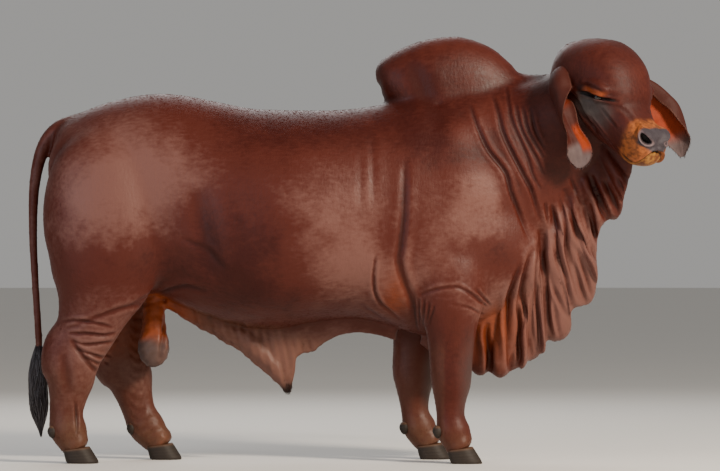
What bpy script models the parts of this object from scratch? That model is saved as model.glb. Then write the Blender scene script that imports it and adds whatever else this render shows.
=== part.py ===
"""A life-size standing humped bull of a heavy zebu breed, red-brown and hornless.

Metres, +Z up. The bull faces +X with its right side to -Y, and its head is turned to
that side. Flesh is modelled whole from lofted bodies, fused, smoothed and creased, and
then parted into head, neck, hump, trunk, dewlap, legs and so on by thin gaps.
"""

import math
import random

import bmesh
import bpy
import numpy as np
from mathutils import Matrix, Vector

GAP = 0.0003
FUSE_VOXEL = 0.0095
SMOOTH_ROUNDS = 7
BROAD_ROUNDS = 70
FLESH_TRIANGLES = 7000

# Sides: the bull's right side is -Y, its left side +Y.
RIGHT = -1
LEFT = 1

# Trunk rows: x, lateral y, height of the widest line, reach up, reach down, half width.
TRUNK = (
    (-1.262, 0, 1.115, 0.145, 0.300, 0.110),
    (-1.225, 0, 1.115, 0.250, 0.370, 0.180),
    (-1.120, 0, 1.117, 0.315, 0.410, 0.245),
    (-0.976, 0, 1.120, 0.366, 0.450, 0.280),
    (-0.832, 0, 1.110, 0.402, 0.440, 0.300),
    (-0.668, 0, 1.070, 0.416, 0.420, 0.318),
    (-0.504, 0, 1.010, 0.454, 0.430, 0.350),
    (-0.340, 0, 0.970, 0.475, 0.430, 0.372),
    (-0.176, 0, 0.960, 0.479, 0.390, 0.372),
    (-0.012, 0, 0.960, 0.485, 0.375, 0.352),
    (0.152, 0, 0.970, 0.500, 0.430, 0.325),
    (0.316, 0, 0.980, 0.555, 0.470, 0.312),
    (0.480, 0, 1.020, 0.555, 0.430, 0.275),
    (0.600, 0, 1.080, 0.495, 0.380, 0.215),
    (0.700, 0, 1.130, 0.360, 0.250, 0.140),
)
# Neck rows, same columns, from inside the shoulders to inside the skull.
NECK = (
    (0.400, 0.000, 1.200, 0.340, 0.400, 0.265),
    (0.560, -0.005, 1.240, 0.340, 0.440, 0.240),
    (0.690, -0.020, 1.300, 0.285, 0.380, 0.212),
    (0.800, -0.055, 1.370, 0.225, 0.300, 0.188),
    (0.890, -0.105, 1.440, 0.175, 0.230, 0.168),
    (0.950, -0.160, 1.490, 0.120, 0.160, 0.125),
)
# Hump and crest rows, same columns.
HUMP = (
    (0.072, 0, 1.575, 0.020, 0.020, 0.030),
    (0.100, 0, 1.578, 0.072, 0.070, 0.078),
    (0.152, 0, 1.570, 0.125, 0.120, 0.112),
    (0.234, 0, 1.550, 0.186, 0.170, 0.135),
    (0.336, 0, 1.520, 0.231, 0.200, 0.142),
    (0.439, 0, 1.490, 0.234, 0.200, 0.134),
    (0.521, 0, 1.455, 0.212, 0.180, 0.118),
    (0.603, -0.005, 1.420, 0.183, 0.160, 0.100),
    (0.705, -0.025, 1.410, 0.180, 0.150, 0.086),
    (0.800, -0.060, 1.430, 0.165, 0.140, 0.080),
    (0.880, -0.100, 1.460, 0.140, 0.120, 0.070),
)
# Muscle masses: x, lateral y from the midline, z, reach along x, y and z, tilt in degrees.
MUSCLES = (
    (0.350, 0.170, 1.060, 0.240, 0.130, 0.360, 8),
    (0.285, 0.195, 0.850, 0.190, 0.122, 0.200, -25),
    (0.490, 0.145, 1.040, 0.150, 0.120, 0.230, 20),
    (0.370, 0.165, 0.740, 0.145, 0.112, 0.170, 0),
    (-1.180, 0.105, 1.190, 0.085, 0.080, 0.150, 0),
)
# Hind limb rows down from the hip: x, lateral y, z, reach forward, reach back, half width.
HIND_LEG = (
    (-0.980, 0.150, 1.340, 0.110, 0.130, 0.070),
    (-1.000, 0.172, 1.210, 0.205, 0.232, 0.122),
    (-1.015, 0.184, 1.050, 0.245, 0.262, 0.142),
    (-1.030, 0.186, 0.900, 0.256, 0.247, 0.142),
    (-1.045, 0.182, 0.790, 0.245, 0.208, 0.132),
    (-1.055, 0.176, 0.700, 0.200, 0.180, 0.112),
    (-1.075, 0.170, 0.615, 0.148, 0.148, 0.094),
    (-1.105, 0.165, 0.530, 0.120, 0.130, 0.080),
    (-1.148, 0.162, 0.455, 0.114, 0.135, 0.072),
    (-1.166, 0.160, 0.395, 0.112, 0.126, 0.070),
    (-1.168, 0.158, 0.335, 0.098, 0.105, 0.064),
    (-1.178, 0.156, 0.270, 0.080, 0.080, 0.053),
    (-1.186, 0.156, 0.200, 0.070, 0.070, 0.050),
    (-1.180, 0.156, 0.140, 0.078, 0.076, 0.062),
    (-1.160, 0.156, 0.095, 0.070, 0.066, 0.060),
    (-1.140, 0.156, 0.055, 0.074, 0.066, 0.064),
    (-1.135, 0.156, 0.020, 0.060, 0.050, 0.050),
)
# Fore leg rows, same columns.
FORE_LEG = (
    (0.360, 0.205, 0.820, 0.150, 0.160, 0.104),
    (0.370, 0.203, 0.720, 0.150, 0.150, 0.107),
    (0.378, 0.200, 0.640, 0.132, 0.142, 0.102),
    (0.380, 0.196, 0.560, 0.106, 0.112, 0.088),
    (0.378, 0.191, 0.460, 0.092, 0.094, 0.074),
    (0.376, 0.188, 0.375, 0.088, 0.086, 0.074),
    (0.377, 0.186, 0.315, 0.082, 0.080, 0.071),
    (0.376, 0.183, 0.250, 0.064, 0.066, 0.055),
    (0.377, 0.182, 0.190, 0.058, 0.060, 0.051),
    (0.386, 0.181, 0.135, 0.070, 0.070, 0.062),
    (0.402, 0.180, 0.095, 0.064, 0.062, 0.059),
    (0.420, 0.180, 0.055, 0.070, 0.062, 0.064),
    (0.424, 0.180, 0.020, 0.056, 0.048, 0.050),
)
# Where the left legs stand, as (height, shift along x) from the right ones.
LEFT_HIND_STEP = ((0.02, 0.325), (0.10, 0.315), (0.20, 0.280), (0.34, 0.222), (0.45, 0.165), (0.62, 0.075), (0.90, 0.010))
LEFT_FORE_STEP = ((0.02, -0.120), (0.20, -0.140), (0.38, -0.150), (0.60, -0.125), (0.82, -0.040))

# Claws of a hoof.
CLAW_LENGTH = 0.128
CLAW_WIDTH = 0.062
CLAW_CLEFT = 0.007
CORONET_HEIGHT = 0.064
CORONET_SLOPE = 0.14
CLAW_LEAN = 0.46
CLAW_SPREAD = 0.0335
DEWCLAW_REACH = (0.020, 0.018, 0.026)
# Height of the dewclaws, their place behind the middle of the fetlock, and their spread.
DEWCLAW_HEIGHT = 0.128
DEWCLAW_BACK = 0.066
DEWCLAW_SPREAD = 0.030

# The head has its own frame: x along the face from the poll, z out of the forehead.
HEAD_ORIGIN = (0.945, -0.125, 1.690)
HEAD_TURN = math.radians(48)
HEAD_DIP = math.radians(35)
SKULL = (
    (-0.052, 0, -0.090, 0.088, 0.110, 0.112),
    (-0.005, 0, -0.088, 0.122, 0.132, 0.148),
    (0.060, 0, -0.080, 0.152, 0.160, 0.162),
    (0.130, 0, -0.072, 0.172, 0.188, 0.164),
    (0.200, 0, -0.074, 0.166, 0.200, 0.158),
    (0.265, 0, -0.092, 0.137, 0.182, 0.138),
    (0.330, 0, -0.118, 0.100, 0.147, 0.113),
    (0.395, 0, -0.134, 0.083, 0.122, 0.095),
    (0.450, 0, -0.144, 0.082, 0.109, 0.087),
    (0.500, 0, -0.145, 0.080, 0.100, 0.085),
    (0.535, 0, -0.142, 0.066, 0.080, 0.073),
    (0.555, 0, -0.138, 0.036, 0.045, 0.045),
)
# Head masses in the head's frame: x, lateral y, z, and reach along x, y and z.
HEAD_MASSES = (
    (0.225, 0.122, -0.040, 0.080, 0.038, 0.044),
    (0.150, 0.098, -0.190, 0.090, 0.044, 0.080),
    (0.070, 0.105, -0.060, 0.060, 0.044, 0.060),
    (0.500, 0.046, -0.100, 0.046, 0.036, 0.036),
    (0.475, 0.050, -0.165, 0.056, 0.036, 0.046),
    (0.485, 0.014, -0.214, 0.050, 0.046, 0.032),
)
EYE_PLACE = (0.261, 0.128, -0.071)
EYE_RADIUS = 0.022
LID_RADIUS = 0.031
LID_TILT = math.radians(20)
LID_SLIT = (0.030, 0.030, 0.0075)
NOSTRIL_PLACE = (0.520, 0.052, -0.098)
NOSTRIL_REACH = (0.024, 0.016, 0.013)
# The mouth: outline of the lips' inner edge in the head's frame (x, y), the corner's place
# and the rise of the line between the lips.
LIPS = ((0.400, 0.070), (0.450, 0.064), (0.500, 0.064), (0.524, 0.052), (0.536, 0.022))
MOUTH_CORNER = (0.400, 0, -0.200)
MOUTH_RISE = math.radians(15)
MOUTH_GAP = 0.0045

# Ears: spine from inside the head to the tip, width of the leaf, its cup in degrees, thickness.
EAR_RIGHT = (
    (0.855, -0.165, 1.598, 0.070, 150, 0.014),
    (0.826, -0.212, 1.602, 0.105, 145, 0.013),
    (0.817, -0.240, 1.580, 0.130, 130, 0.012),
    (0.820, -0.262, 1.533, 0.145, 110, 0.010),
    (0.827, -0.277, 1.472, 0.142, 100, 0.009),
    (0.837, -0.287, 1.411, 0.118, 100, 0.009),
    (0.855, -0.292, 1.351, 0.092, 95, 0.008),
    (0.871, -0.292, 1.308, 0.096, 75, 0.008),
    (0.883, -0.292, 1.262, 0.092, 50, 0.007),
    (0.887, -0.290, 1.197, 0.016, 40, 0.005),
)
EAR_LEFT = (
    (1.010, -0.020, 1.610, 0.080, 150, 0.014),
    (1.070, 0.035, 1.608, 0.100, 145, 0.013),
    (1.130, 0.078, 1.572, 0.125, 130, 0.012),
    (1.196, 0.110, 1.517, 0.145, 110, 0.010),
    (1.234, 0.125, 1.472, 0.150, 100, 0.009),
    (1.272, 0.130, 1.423, 0.148, 90, 0.009),
    (1.305, 0.130, 1.369, 0.130, 80, 0.008),
    (1.329, 0.125, 1.311, 0.105, 65, 0.007),
    (1.339, 0.115, 1.249, 0.018, 45, 0.005),
)
# The way each ear opens at its root and at its tip.
EAR_RIGHT_OPENS = ((0.75, -0.65, -0.10), (0.20, -1.00, 0.00))
EAR_LEFT_OPENS = ((-0.15, -1.00, 0.00), (-0.30, -1.00, 0.10))

# Tail rows: x, y, z and three times the radius.
TAIL = (
    (-1.080, 0, 1.395, 0.050),
    (-1.185, 0, 1.378, 0.042),
    (-1.262, 0, 1.330, 0.034),
    (-1.304, -0.004, 1.245, 0.029),
    (-1.327, -0.008, 1.120, 0.024),
    (-1.332, -0.012, 0.950, 0.020),
    (-1.324, -0.014, 0.760, 0.0175),
    (-1.314, -0.014, 0.600, 0.017),
    (-1.308, -0.014, 0.500, 0.017),
    (-1.308, -0.014, 0.440, 0.015),
)
SWITCH = ((-1.307, -0.014, 0.478, 0.020), (-1.312, -0.014, 0.400, 0.030), (-1.312, -0.014, 0.300, 0.038), (-1.306, -0.014, 0.200, 0.034), (-1.298, -0.014, 0.105, 0.008))

SWITCH_LOCKS = 15

# Hanging folds: edge and root outlines in the XZ plane, from the rear to the front.
DEWLAP_EDGE = ((0.250, 0.480), (0.360, 0.405), (0.490, 0.352), (0.565, 0.342), (0.640, 0.372), (0.715, 0.415), (0.785, 0.470), (0.850, 0.520), (0.895, 0.590), (0.945, 0.655), (0.975, 0.745), (0.982, 0.850), (1.000, 0.940), (1.055, 1.010), (1.088, 1.090), (1.110, 1.180), (1.120, 1.250))
DEWLAP_ROOT = ((0.300, 0.640), (0.450, 0.680), (0.580, 0.730), (0.670, 0.800), (0.725, 0.885), (0.765, 0.975), (0.810, 1.070), (0.870, 1.180), (0.940, 1.280), (1.000, 1.350))
SHEATH_EDGE = ((-0.790, 0.635), (-0.700, 0.570), (-0.585, 0.505), (-0.468, 0.432), (-0.388, 0.360), (-0.310, 0.300), (-0.283, 0.272), (-0.262, 0.330), (-0.250, 0.425), (-0.190, 0.442), (-0.150, 0.472), (-0.082, 0.510), (0.000, 0.524), (0.080, 0.512), (0.160, 0.486))
SHEATH_ROOT = ((-0.790, 0.690), (-0.650, 0.680), (-0.500, 0.620), (-0.350, 0.580), (-0.200, 0.600), (-0.050, 0.620), (0.080, 0.600), (0.160, 0.560))
SHEATH_TUBE = ((-0.780, 0.665, 0.040), (-0.690, 0.622, 0.046), (-0.560, 0.560, 0.048), (-0.440, 0.482, 0.044), (-0.350, 0.390, 0.034), (-0.300, 0.315, 0.022), (-0.286, 0.278, 0.012))
SCROTUM = ((-0.840, 0, 0.690, 0.050, 0.050, 0.050), (-0.838, 0, 0.620, 0.048, 0.048, 0.052), (-0.838, 0, 0.540, 0.056, 0.054, 0.066), (-0.838, 0, 0.470, 0.064, 0.060, 0.072), (-0.836, 0, 0.415, 0.056, 0.052, 0.058), (-0.834, 0, 0.392, 0.030, 0.028, 0.030))

# Regions of the nodes as XZ outlines: the head's in its own frame, the others in the world.
HEAD_REGION = ((0.020, -0.290), (0.800, -0.290), (0.800, 0.300), (-0.090, 0.300))
HUMP_REGION = ((0.020, 1.500), (0.135, 1.490), (0.300, 1.530), (0.620, 1.590), (0.660, 1.850), (0.020, 1.850))
TAIL_REGION = ((-1.225, 1.490), (-1.235, 1.360), (-1.262, 1.275), (-1.283, 1.180), (-1.290, 1.050), (-1.291, 0.900), (-1.286, 0.700), (-1.270, 0.380), (-1.420, 0.380), (-1.420, 1.490))
SCROTUM_REGION = ((-0.930, 0.660), (-0.930, 0.300), (-0.740, 0.300), (-0.740, 0.560), (-0.772, 0.660))
SHEATH_REGION = ((-0.795, 0.664), (-0.668, 0.645), (-0.504, 0.572), (-0.340, 0.530), (-0.176, 0.560), (-0.012, 0.577), (0.150, 0.528), (0.150, 0.200), (-0.795, 0.200))
HIND_REGION = ((-0.780, 0.745), (-1.020, 0.800), (-1.320, 0.880), (-1.420, 0.880), (-1.420, -0.100), (-0.700, -0.100), (-0.700, 0.720))
FORE_REGION = ((0.190, 0.660), (0.190, -0.100), (0.600, -0.100), (0.600, 0.300), (0.550, 0.640))
LEFT_FORE_REGION = ((0.060, 0.660), (0.060, -0.100), (0.460, -0.100), (0.430, 0.300), (0.420, 0.640))
DEWLAP_REGION = ((0.155, 0.527), (0.300, 0.540), (0.450, 0.560), (0.550, 0.605), (0.630, 0.690), (0.710, 0.810), (0.775, 0.950), (0.835, 1.085), (0.900, 1.190), (0.990, 1.290), (1.350, 1.290), (1.350, 0.200), (0.155, 0.200))
NECK_REGION = ((0.640, 1.850), (0.600, 1.560), (0.600, 1.300), (0.650, 1.080), (0.700, 0.780), (1.400, 0.780), (1.400, 1.850))

COLOURS = {
    "hide": (0.135, 0.042, 0.026),
    "ear": (0.200, 0.060, 0.030),
    "horny": (0.060, 0.048, 0.042),
    "hair": (0.022, 0.018, 0.020),
    "eye": (0.012, 0.008, 0.007),
}


def smooth_rows(rows, steps):
    """Rows of numbers joined by a Catmull-Rom curve, with a few steps between each two."""
    rows = np.array(rows, float)
    padded = np.vstack([2 * rows[0] - rows[1], rows, 2 * rows[-1] - rows[-2]])
    out = []
    for i in range(1, len(padded) - 2):
        a, b, c, d = padded[i - 1 : i + 3]
        for k in range(steps):
            t = k / steps
            out.append(0.5 * (2 * b + (c - a) * t + (2 * a - 5 * b + 4 * c - d) * t**2 + (3 * b - a - 3 * c + d) * t**3))
    out.append(rows[-1])
    return np.array(out)


def at_share(rows, share):
    """The point at a share of the way along rows of a curve, by its own length."""
    steps = np.r_[0, np.cumsum(np.linalg.norm(np.diff(rows, axis=0), axis=1))]
    target = share * steps[-1]
    return np.array([np.interp(target, steps, rows[:, k]) for k in range(rows.shape[1])])


def new_object(name, verts, faces):
    """A mesh object of these vertices and faces, with its normals facing out."""
    mesh = bpy.data.meshes.new(name)
    mesh.from_pydata([tuple(v) for v in verts], [], faces)
    work = bmesh.new()
    work.from_mesh(mesh)
    bmesh.ops.recalc_face_normals(work, faces=work.faces)
    work.to_mesh(mesh)
    work.free()
    made = bpy.data.objects.new(name, mesh)
    bpy.context.scene.collection.objects.link(made)
    return made


def tube_faces(rings, around):
    """Faces that join rings of vertices in order, with a fan at each end to a pole vertex."""
    faces = []
    for i in range(rings - 1):
        for j in range(around):
            k = (j + 1) % around
            faces.append((i * around + j, i * around + k, (i + 1) * around + k, (i + 1) * around + j))
    first, last = rings * around, rings * around + 1
    for j in range(around):
        k = (j + 1) % around
        faces.append((j, k, first))
        faces.append(((rings - 1) * around + j, (rings - 1) * around + k, last))
    return faces


def loft(name, rows, steps=4, around=28, power=2.25, crown=0.0):
    """A closed body through rows of x, y, z, reach up or forward, reach down or back, half width."""
    rows = smooth_rows(rows, steps)
    centres = rows[:, :3]
    tangents = np.gradient(centres, axis=0)
    verts = []
    for centre, tangent, (up, down, side) in zip(centres, tangents, rows[:, 3:6]):
        along = Vector(tangent).normalized()
        lateral = (Vector((0, 1, 0)) - along * along.y).normalized()
        upward = along.cross(lateral)
        for j in range(around):
            angle = 2 * math.pi * j / around
            c, s = math.cos(angle), math.sin(angle)
            level = math.copysign(abs(s) ** (2 / power), s)
            wide = math.copysign(abs(c) ** (2 / power), c) * (1 - crown * max(level, 0) ** 2)
            verts.append(Vector(centre) + upward * level * (up if s > 0 else down) + lateral * wide * side)
    verts += [Vector(centres[0]), Vector(centres[-1])]
    return new_object(name, verts, tube_faces(len(rows), around))


def blob(name, centre, reach, turn=Matrix.Identity(3), detail=4):
    """An ellipsoid."""
    mesh = bpy.data.meshes.new(name)
    work = bmesh.new()
    bmesh.ops.create_icosphere(work, subdivisions=detail, radius=1)
    work.to_mesh(mesh)
    work.free()
    mesh.transform(Matrix.Translation(centre) @ turn.to_4x4() @ Matrix.Diagonal((*reach, 1)))
    made = bpy.data.objects.new(name, mesh)
    bpy.context.scene.collection.objects.link(made)
    return made


def head_matrix():
    """The head's frame in the world: turned to the right and dipped."""
    return Matrix.Translation(HEAD_ORIGIN) @ Matrix.Rotation(-HEAD_TURN, 4, "Z") @ Matrix.Rotation(HEAD_DIP, 4, "Y")


def hanging_fold(name, root, edge, middle, thick_root, thick_edge, pleats=0, sway=0.0, swell=0.0, columns=180, depth=18):
    """A closed hanging fold of skin between a root line and a free edge, pleated towards the edge."""
    root_line, edge_line = smooth_rows(root, 6), smooth_rows(edge, 6)
    sides = {RIGHT: [], LEFT: []}
    for i in range(columns):
        share = i / (columns - 1)
        top, bottom = at_share(root_line, share), at_share(edge_line, share)
        phase = 2 * math.pi * pleats * (share + 0.012 * math.sin(9 * share) + 0.006 * math.sin(31 * share))
        ends = min(1, 8 * share, 8 * (1 - share))
        for j in range(depth):
            t = j / (depth - 1)
            x, z = top + (bottom - top) * t
            lively = ends * (0.8 + 0.2 * math.sin(23 * share))
            wave = math.sin(phase) * sway * lively * t**0.8
            thick = thick_root[0] + (thick_root[1] - thick_root[0]) * ramp(share, 0.45, 0.85)
            half = (thick + (thick_edge - thick) * t**0.72) / 2
            drop = 0.45 * sway * math.sin(phase) * lively * t**4
            for side in sides:
                ridge = swell * lively * t**0.6 * abs(math.cos(phase / 2 - side * math.pi / 4)) ** 0.8
                round_off = math.sqrt(max(0, 1 - max(0, (t - 0.86) / 0.14) ** 2))
                sides[side].append((x, middle(x, z) + wave + side * (half + ridge) * (0.25 + 0.75 * round_off), z + drop))
    verts = sides[RIGHT] + sides[LEFT]
    count = columns * depth
    faces = []
    for i in range(columns - 1):
        for j in range(depth - 1):
            a = i * depth + j
            faces.append((a, a + 1, a + depth + 1, a + depth))
            faces.append((count + a, count + a + depth, count + a + depth + 1, count + a + 1))
    rim = [i * depth for i in range(columns)] + [(columns - 1) * depth + j for j in range(1, depth)]
    rim += [i * depth + depth - 1 for i in range(columns - 2, -1, -1)] + list(range(depth - 2, 0, -1))
    for a, b in zip(rim, rim[1:] + rim[:1]):
        faces.append((a, b, count + b, count + a))
    return new_object(name, verts, faces)


def neck_middle(x, z):
    """Lateral place of the dewlap's middle plane: it follows the neck towards the turned head."""
    reach = max(0.0, min(1.0, (x - 0.72) / 0.40)) * max(0.0, min(1.0, (z - 0.65) / 0.45))
    return -0.20 * reach**1.2


def belly_middle(x, z):
    """Lateral place of the sheath's middle plane."""
    return 0.0


def step_rows(rows, side, step):
    """Leg rows for one side, moved along x by the step at each height."""
    heights = [h for h, _ in step]
    shifts = [s for _, s in step]
    return [(x + float(np.interp(z, heights, shifts)), side * y, z, *more) for x, y, z, *more in rows]


NO_STEP = ((0.0, 0.0), (2.0, 0.0))


def legs(side):
    """The hind limb and fore limb bodies of one side."""
    hind = LEFT_HIND_STEP if side == LEFT else NO_STEP
    fore = LEFT_FORE_STEP if side == LEFT else NO_STEP
    return [
        loft("hind", step_rows(HIND_LEG, side, hind), around=24, power=2.1),
        loft("fore", step_rows(FORE_LEG, side, fore), around=24, power=2.1),
    ]


def muscle_bodies():
    """Shoulder, elbow, hip and pin masses on both sides."""
    made = []
    for x, y, z, along, across, tall, tilt in MUSCLES:
        for side in (RIGHT, LEFT):
            turn = Matrix.Rotation(math.radians(tilt), 3, "Y")
            made.append(blob("muscle", (x, side * y, z), (along, across, tall), turn))
    return made


def head_bodies():
    """The skull and the masses of brow, cheek, muzzle and chin, placed in the world."""
    made = [loft("skull", SKULL, around=32, power=2.35)]
    for x, y, z, *reach in HEAD_MASSES:
        for side in (RIGHT, LEFT):
            made.append(blob("mass", (x, side * y, z), reach))
    x, y, z = EYE_PLACE
    for side in (RIGHT, LEFT):
        made.append(blob("lid", (x, side * (y - 0.003), z), (LID_RADIUS, LID_RADIUS * 0.9, LID_RADIUS * 0.85)))
    for body in made:
        body.data.transform(head_matrix())
    return made


def scrotum_bodies():
    """Two testes side by side under one neck of skin."""
    return [loft("scrotum", SCROTUM, around=24, power=2.0)] + [
        blob("testis", (-0.838, side * 0.036, 0.468), (0.066, 0.040, 0.086)) for side in (RIGHT, LEFT)
    ]


def fused(name, bodies, voxel, rounds):
    """The bodies as one skin, remeshed and smoothed."""
    verts, faces = [], []
    for body in bodies:
        start = len(verts)
        verts += [v.co.copy() for v in body.data.vertices]
        faces += [[start + i for i in p.vertices] for p in body.data.polygons]
        bpy.data.objects.remove(body)
    mesh = bpy.data.meshes.new(name)
    mesh.from_pydata(verts, [], faces)
    made = bpy.data.objects.new(name, mesh)
    bpy.context.scene.collection.objects.link(made)
    remesh = made.modifiers.new("Fuse", "REMESH")
    remesh.mode = "VOXEL"
    remesh.voxel_size = voxel
    smooth = made.modifiers.new("Soften", "SMOOTH")
    smooth.factor = 0.5
    smooth.iterations = rounds
    apply_modifiers(made)
    broad = made.vertex_groups.new(name="broad")
    for vertex in made.data.vertices:
        weight = broad_share(vertex.co)
        if weight > 0:
            broad.add([vertex.index], weight, "REPLACE")
    smooth = made.modifiers.new("Broaden", "SMOOTH")
    smooth.vertex_group = broad.name
    smooth.factor = 0.5
    smooth.iterations = BROAD_ROUNDS
    apply_modifiers(made)
    made.vertex_groups.clear()
    return made


def ramp(value, low, high):
    """0 below low, 1 above high and a straight line between."""
    return max(0.0, min(1.0, (value - low) / (high - low)))


def broad_share(point):
    """How far the flesh here is smoothed broadly: all of the trunk, none of head, legs and folds."""
    x, y, z = point
    share = ramp(x, -1.24, -1.16) * ramp(z, 0.66, 0.80) * (1 - ramp(x, 0.60, 0.80))
    fold = 1 - ramp(x + 0.45 * (1 - z), 0.50, 0.66) * (1 - ramp(abs(y), 0.16, 0.24))
    hump = 1 - ramp(z, 1.46, 1.50) * ramp(x, -0.02, 0.06) * (1 - 0.8 * ramp(x, 0.16, 0.28) * (1 - ramp(z, 1.58, 1.68)))
    return share * fold * hump


def apply_modifiers(thing):
    """Replaces the object's mesh by what its modifiers make of it."""
    graph = bpy.context.evaluated_depsgraph_get()
    made = bpy.data.meshes.new_from_object(thing.evaluated_get(graph))
    thing.modifiers.clear()
    old = thing.data
    thing.data = made
    bpy.data.meshes.remove(old)


def boolean(thing, other, operation, solver="EXACT"):
    """Applies a Boolean with another object."""
    modifier = thing.modifiers.new("Cut", "BOOLEAN")
    modifier.operation = operation
    modifier.solver = solver
    modifier.object = other
    apply_modifiers(thing)


def keep_largest(thing):
    """Keeps only the largest closed surface of a mesh."""
    work = bmesh.new()
    work.from_mesh(thing.data)
    work.verts.ensure_lookup_table()
    left, best = set(work.verts), []
    while left:
        seed = left.pop()
        group, todo = [seed], [seed]
        while todo:
            for edge in todo.pop().link_edges:
                for vert in edge.verts:
                    if vert in left:
                        left.remove(vert)
                        group.append(vert)
                        todo.append(vert)
        if len(group) > len(best):
            best = group
    kept = set(best)
    bmesh.ops.delete(work, geom=[v for v in work.verts if v not in kept], context="VERTS")
    work.to_mesh(thing.data)
    work.free()


def thin_out(thing, triangles):
    """Collapses the mesh to about this many triangles."""
    total = sum(len(p.vertices) - 2 for p in thing.data.polygons)
    thin = thing.modifiers.new("Thin", "DECIMATE")
    thin.ratio = triangles / total
    thin.use_collapse_triangulate = True
    apply_modifiers(thing)


def grown_outline(outline, grow):
    """An outline with each edge moved outwards, its corners joined again."""
    points = [Vector(p) for p in outline]
    area = sum(a.x * b.y - b.x * a.y for a, b in zip(points, points[1:] + points[:1]))
    turn = 1 if area > 0 else -1
    lines = []
    for a, b in zip(points, points[1:] + points[:1]):
        direction = (b - a).normalized()
        outward = Vector((direction.y, -direction.x)) * turn
        lines.append((a + outward * grow, direction))
    out = []
    for (p, d), (q, e) in zip(lines[-1:] + lines[:-1], lines):
        cross = d.x * e.y - d.y * e.x
        t = ((q - p).x * e.y - (q - p).y * e.x) / cross if abs(cross) > 1e-6 else 0
        out.append(p + d * t if abs(cross) > 1e-6 else q)
    return out


def prism(name, outline, low, high, matrix=Matrix.Identity(4), grow=0.0):
    """An XZ outline extruded from y = low to y = high."""
    points = grown_outline(outline, grow)
    count = len(points)
    verts = [matrix @ Vector((p.x, y, p.y)) for y in (low - grow, high + grow) for p in points]
    faces = [list(range(count)), list(range(2 * count - 1, count - 1, -1))]
    faces += [[i, (i + 1) % count, count + (i + 1) % count, count + i] for i in range(count)]
    made = new_object(name, verts, faces)
    made.hide_render = True
    return made


def carve(flesh, name, outline, low, high, matrix=Matrix.Identity(4)):
    """Parts the flesh inside a prism from the rest, and returns it as a node."""
    inside = prism("inside", outline, low, high, matrix)
    outside = prism("outside", outline, low, high, matrix, GAP)
    node = flesh.copy()
    node.data = flesh.data.copy()
    node.name = name
    bpy.context.scene.collection.objects.link(node)
    boolean(node, inside, "INTERSECT")
    boolean(flesh, outside, "DIFFERENCE")
    keep_largest(node)
    for helper in (inside, outside):
        bpy.data.objects.remove(helper)
    return node


def seat(piece, carrier):
    """Cuts the root of a piece to the surface that carries it, a gap away."""
    cutter = carrier.copy()
    cutter.data = carrier.data.copy()
    bpy.context.scene.collection.objects.link(cutter)
    grow = cutter.modifiers.new("Grow", "DISPLACE")
    grow.strength = GAP
    grow.mid_level = 0
    apply_modifiers(cutter)
    boolean(piece, cutter, "DIFFERENCE")
    keep_largest(piece)
    bpy.data.objects.remove(cutter)


def ear(name, rows, opens):
    """A long cupped ear: a leaf folded along its length, open towards a direction."""
    rows = smooth_rows(rows, 2)
    tangents = np.gradient(rows[:, :3], axis=0)
    across = 7
    outer, inner = [], []
    for i, (row, tangent) in enumerate(zip(rows, tangents)):
        along = Vector(tangent).normalized()
        opening = Vector(opens[0]).lerp(Vector(opens[1]), ramp(i / (len(rows) - 1), 0.45, 0.85))
        open_way = (opening - along * along.dot(opening)).normalized()
        side = along.cross(open_way)
        width, cup, thick = row[3], math.radians(row[4]), row[5]
        radius = width / cup
        for j in range(across):
            angle = cup * (2 * j / (across - 1) - 1) / 2
            out = -open_way * math.cos(angle) + side * math.sin(angle)
            middle = Vector(row[:3]) + out * radius + open_way * radius
            edge = 0.55 + 0.45 * math.cos(angle / cup * math.pi)
            outer.append(middle + out * thick * edge / 2)
            inner.append(middle - out * thick * edge / 2)
    rings = len(rows)
    count = rings * across
    faces = []
    for i in range(rings - 1):
        for j in range(across - 1):
            a = i * across + j
            b = a + across
            faces += [(a, b, b + 1), (a, b + 1, a + 1)]
            faces += [(count + a, count + b + 1, count + b), (count + a, count + a + 1, count + b + 1)]
    rim = [i * across for i in range(rings)] + [(rings - 1) * across + j for j in range(1, across)]
    rim += [i * across + across - 1 for i in range(rings - 2, -1, -1)] + list(range(across - 2, 0, -1))
    for a, b in zip(rim, rim[1:] + rim[:1]):
        faces.append((a, b, count + b, count + a))
    return new_object(name, outer + inner, faces)


def coronet(forward):
    """Height of the coronet's plane at a distance forward of the hoof's middle."""
    return CORONET_HEIGHT + CORONET_SLOPE * forward


def claw(name, x, y, side):
    """One claw of a hoof: a flat sole, a sloping toe and a top along the coronet's plane."""
    around = 16
    verts = []
    for level, size in ((0.0, 1.0), (0.15, 1.0), (0.55, 0.93), (1.0, 0.86)):
        for j in range(around):
            angle = 2 * math.pi * j / around
            c, s = math.cos(angle), math.sin(angle)
            front = math.copysign(abs(c) ** 0.85, c) * CLAW_LENGTH / 2 * size
            narrow = 1 - 0.28 * max(0, c) ** 2
            wide = math.copysign(abs(s) ** 0.8, s) * CLAW_WIDTH / 2 * size * narrow
            inward = 0.14 * CLAW_WIDTH * max(0, c) ** 2
            height = level * coronet(front) / (1 + level * CORONET_SLOPE * CLAW_LEAN)
            verts.append((x + front - CLAW_LEAN * height, y + wide - side * inward, height))
    faces = []
    for i in range(3):
        for j in range(around):
            k = (j + 1) % around
            faces.append((i * around + j, i * around + k, (i + 1) * around + k, (i + 1) * around + j))
    faces += [list(range(around)), [3 * around + j for j in range(around)]]
    return new_object(name, verts, faces)


def cut_coronet(flesh, x, y):
    """Cuts the foot off along the coronet's plane, a gap above the claws."""
    low, high = coronet(-0.16) + GAP, coronet(0.16) + GAP
    cutter = prism("foot", ((x - 0.16, -0.1), (x + 0.16, -0.1), (x + 0.16, high), (x - 0.16, low)), y - 0.12, y + 0.12)
    boolean(flesh, cutter, "DIFFERENCE")
    bpy.data.objects.remove(cutter)


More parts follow.
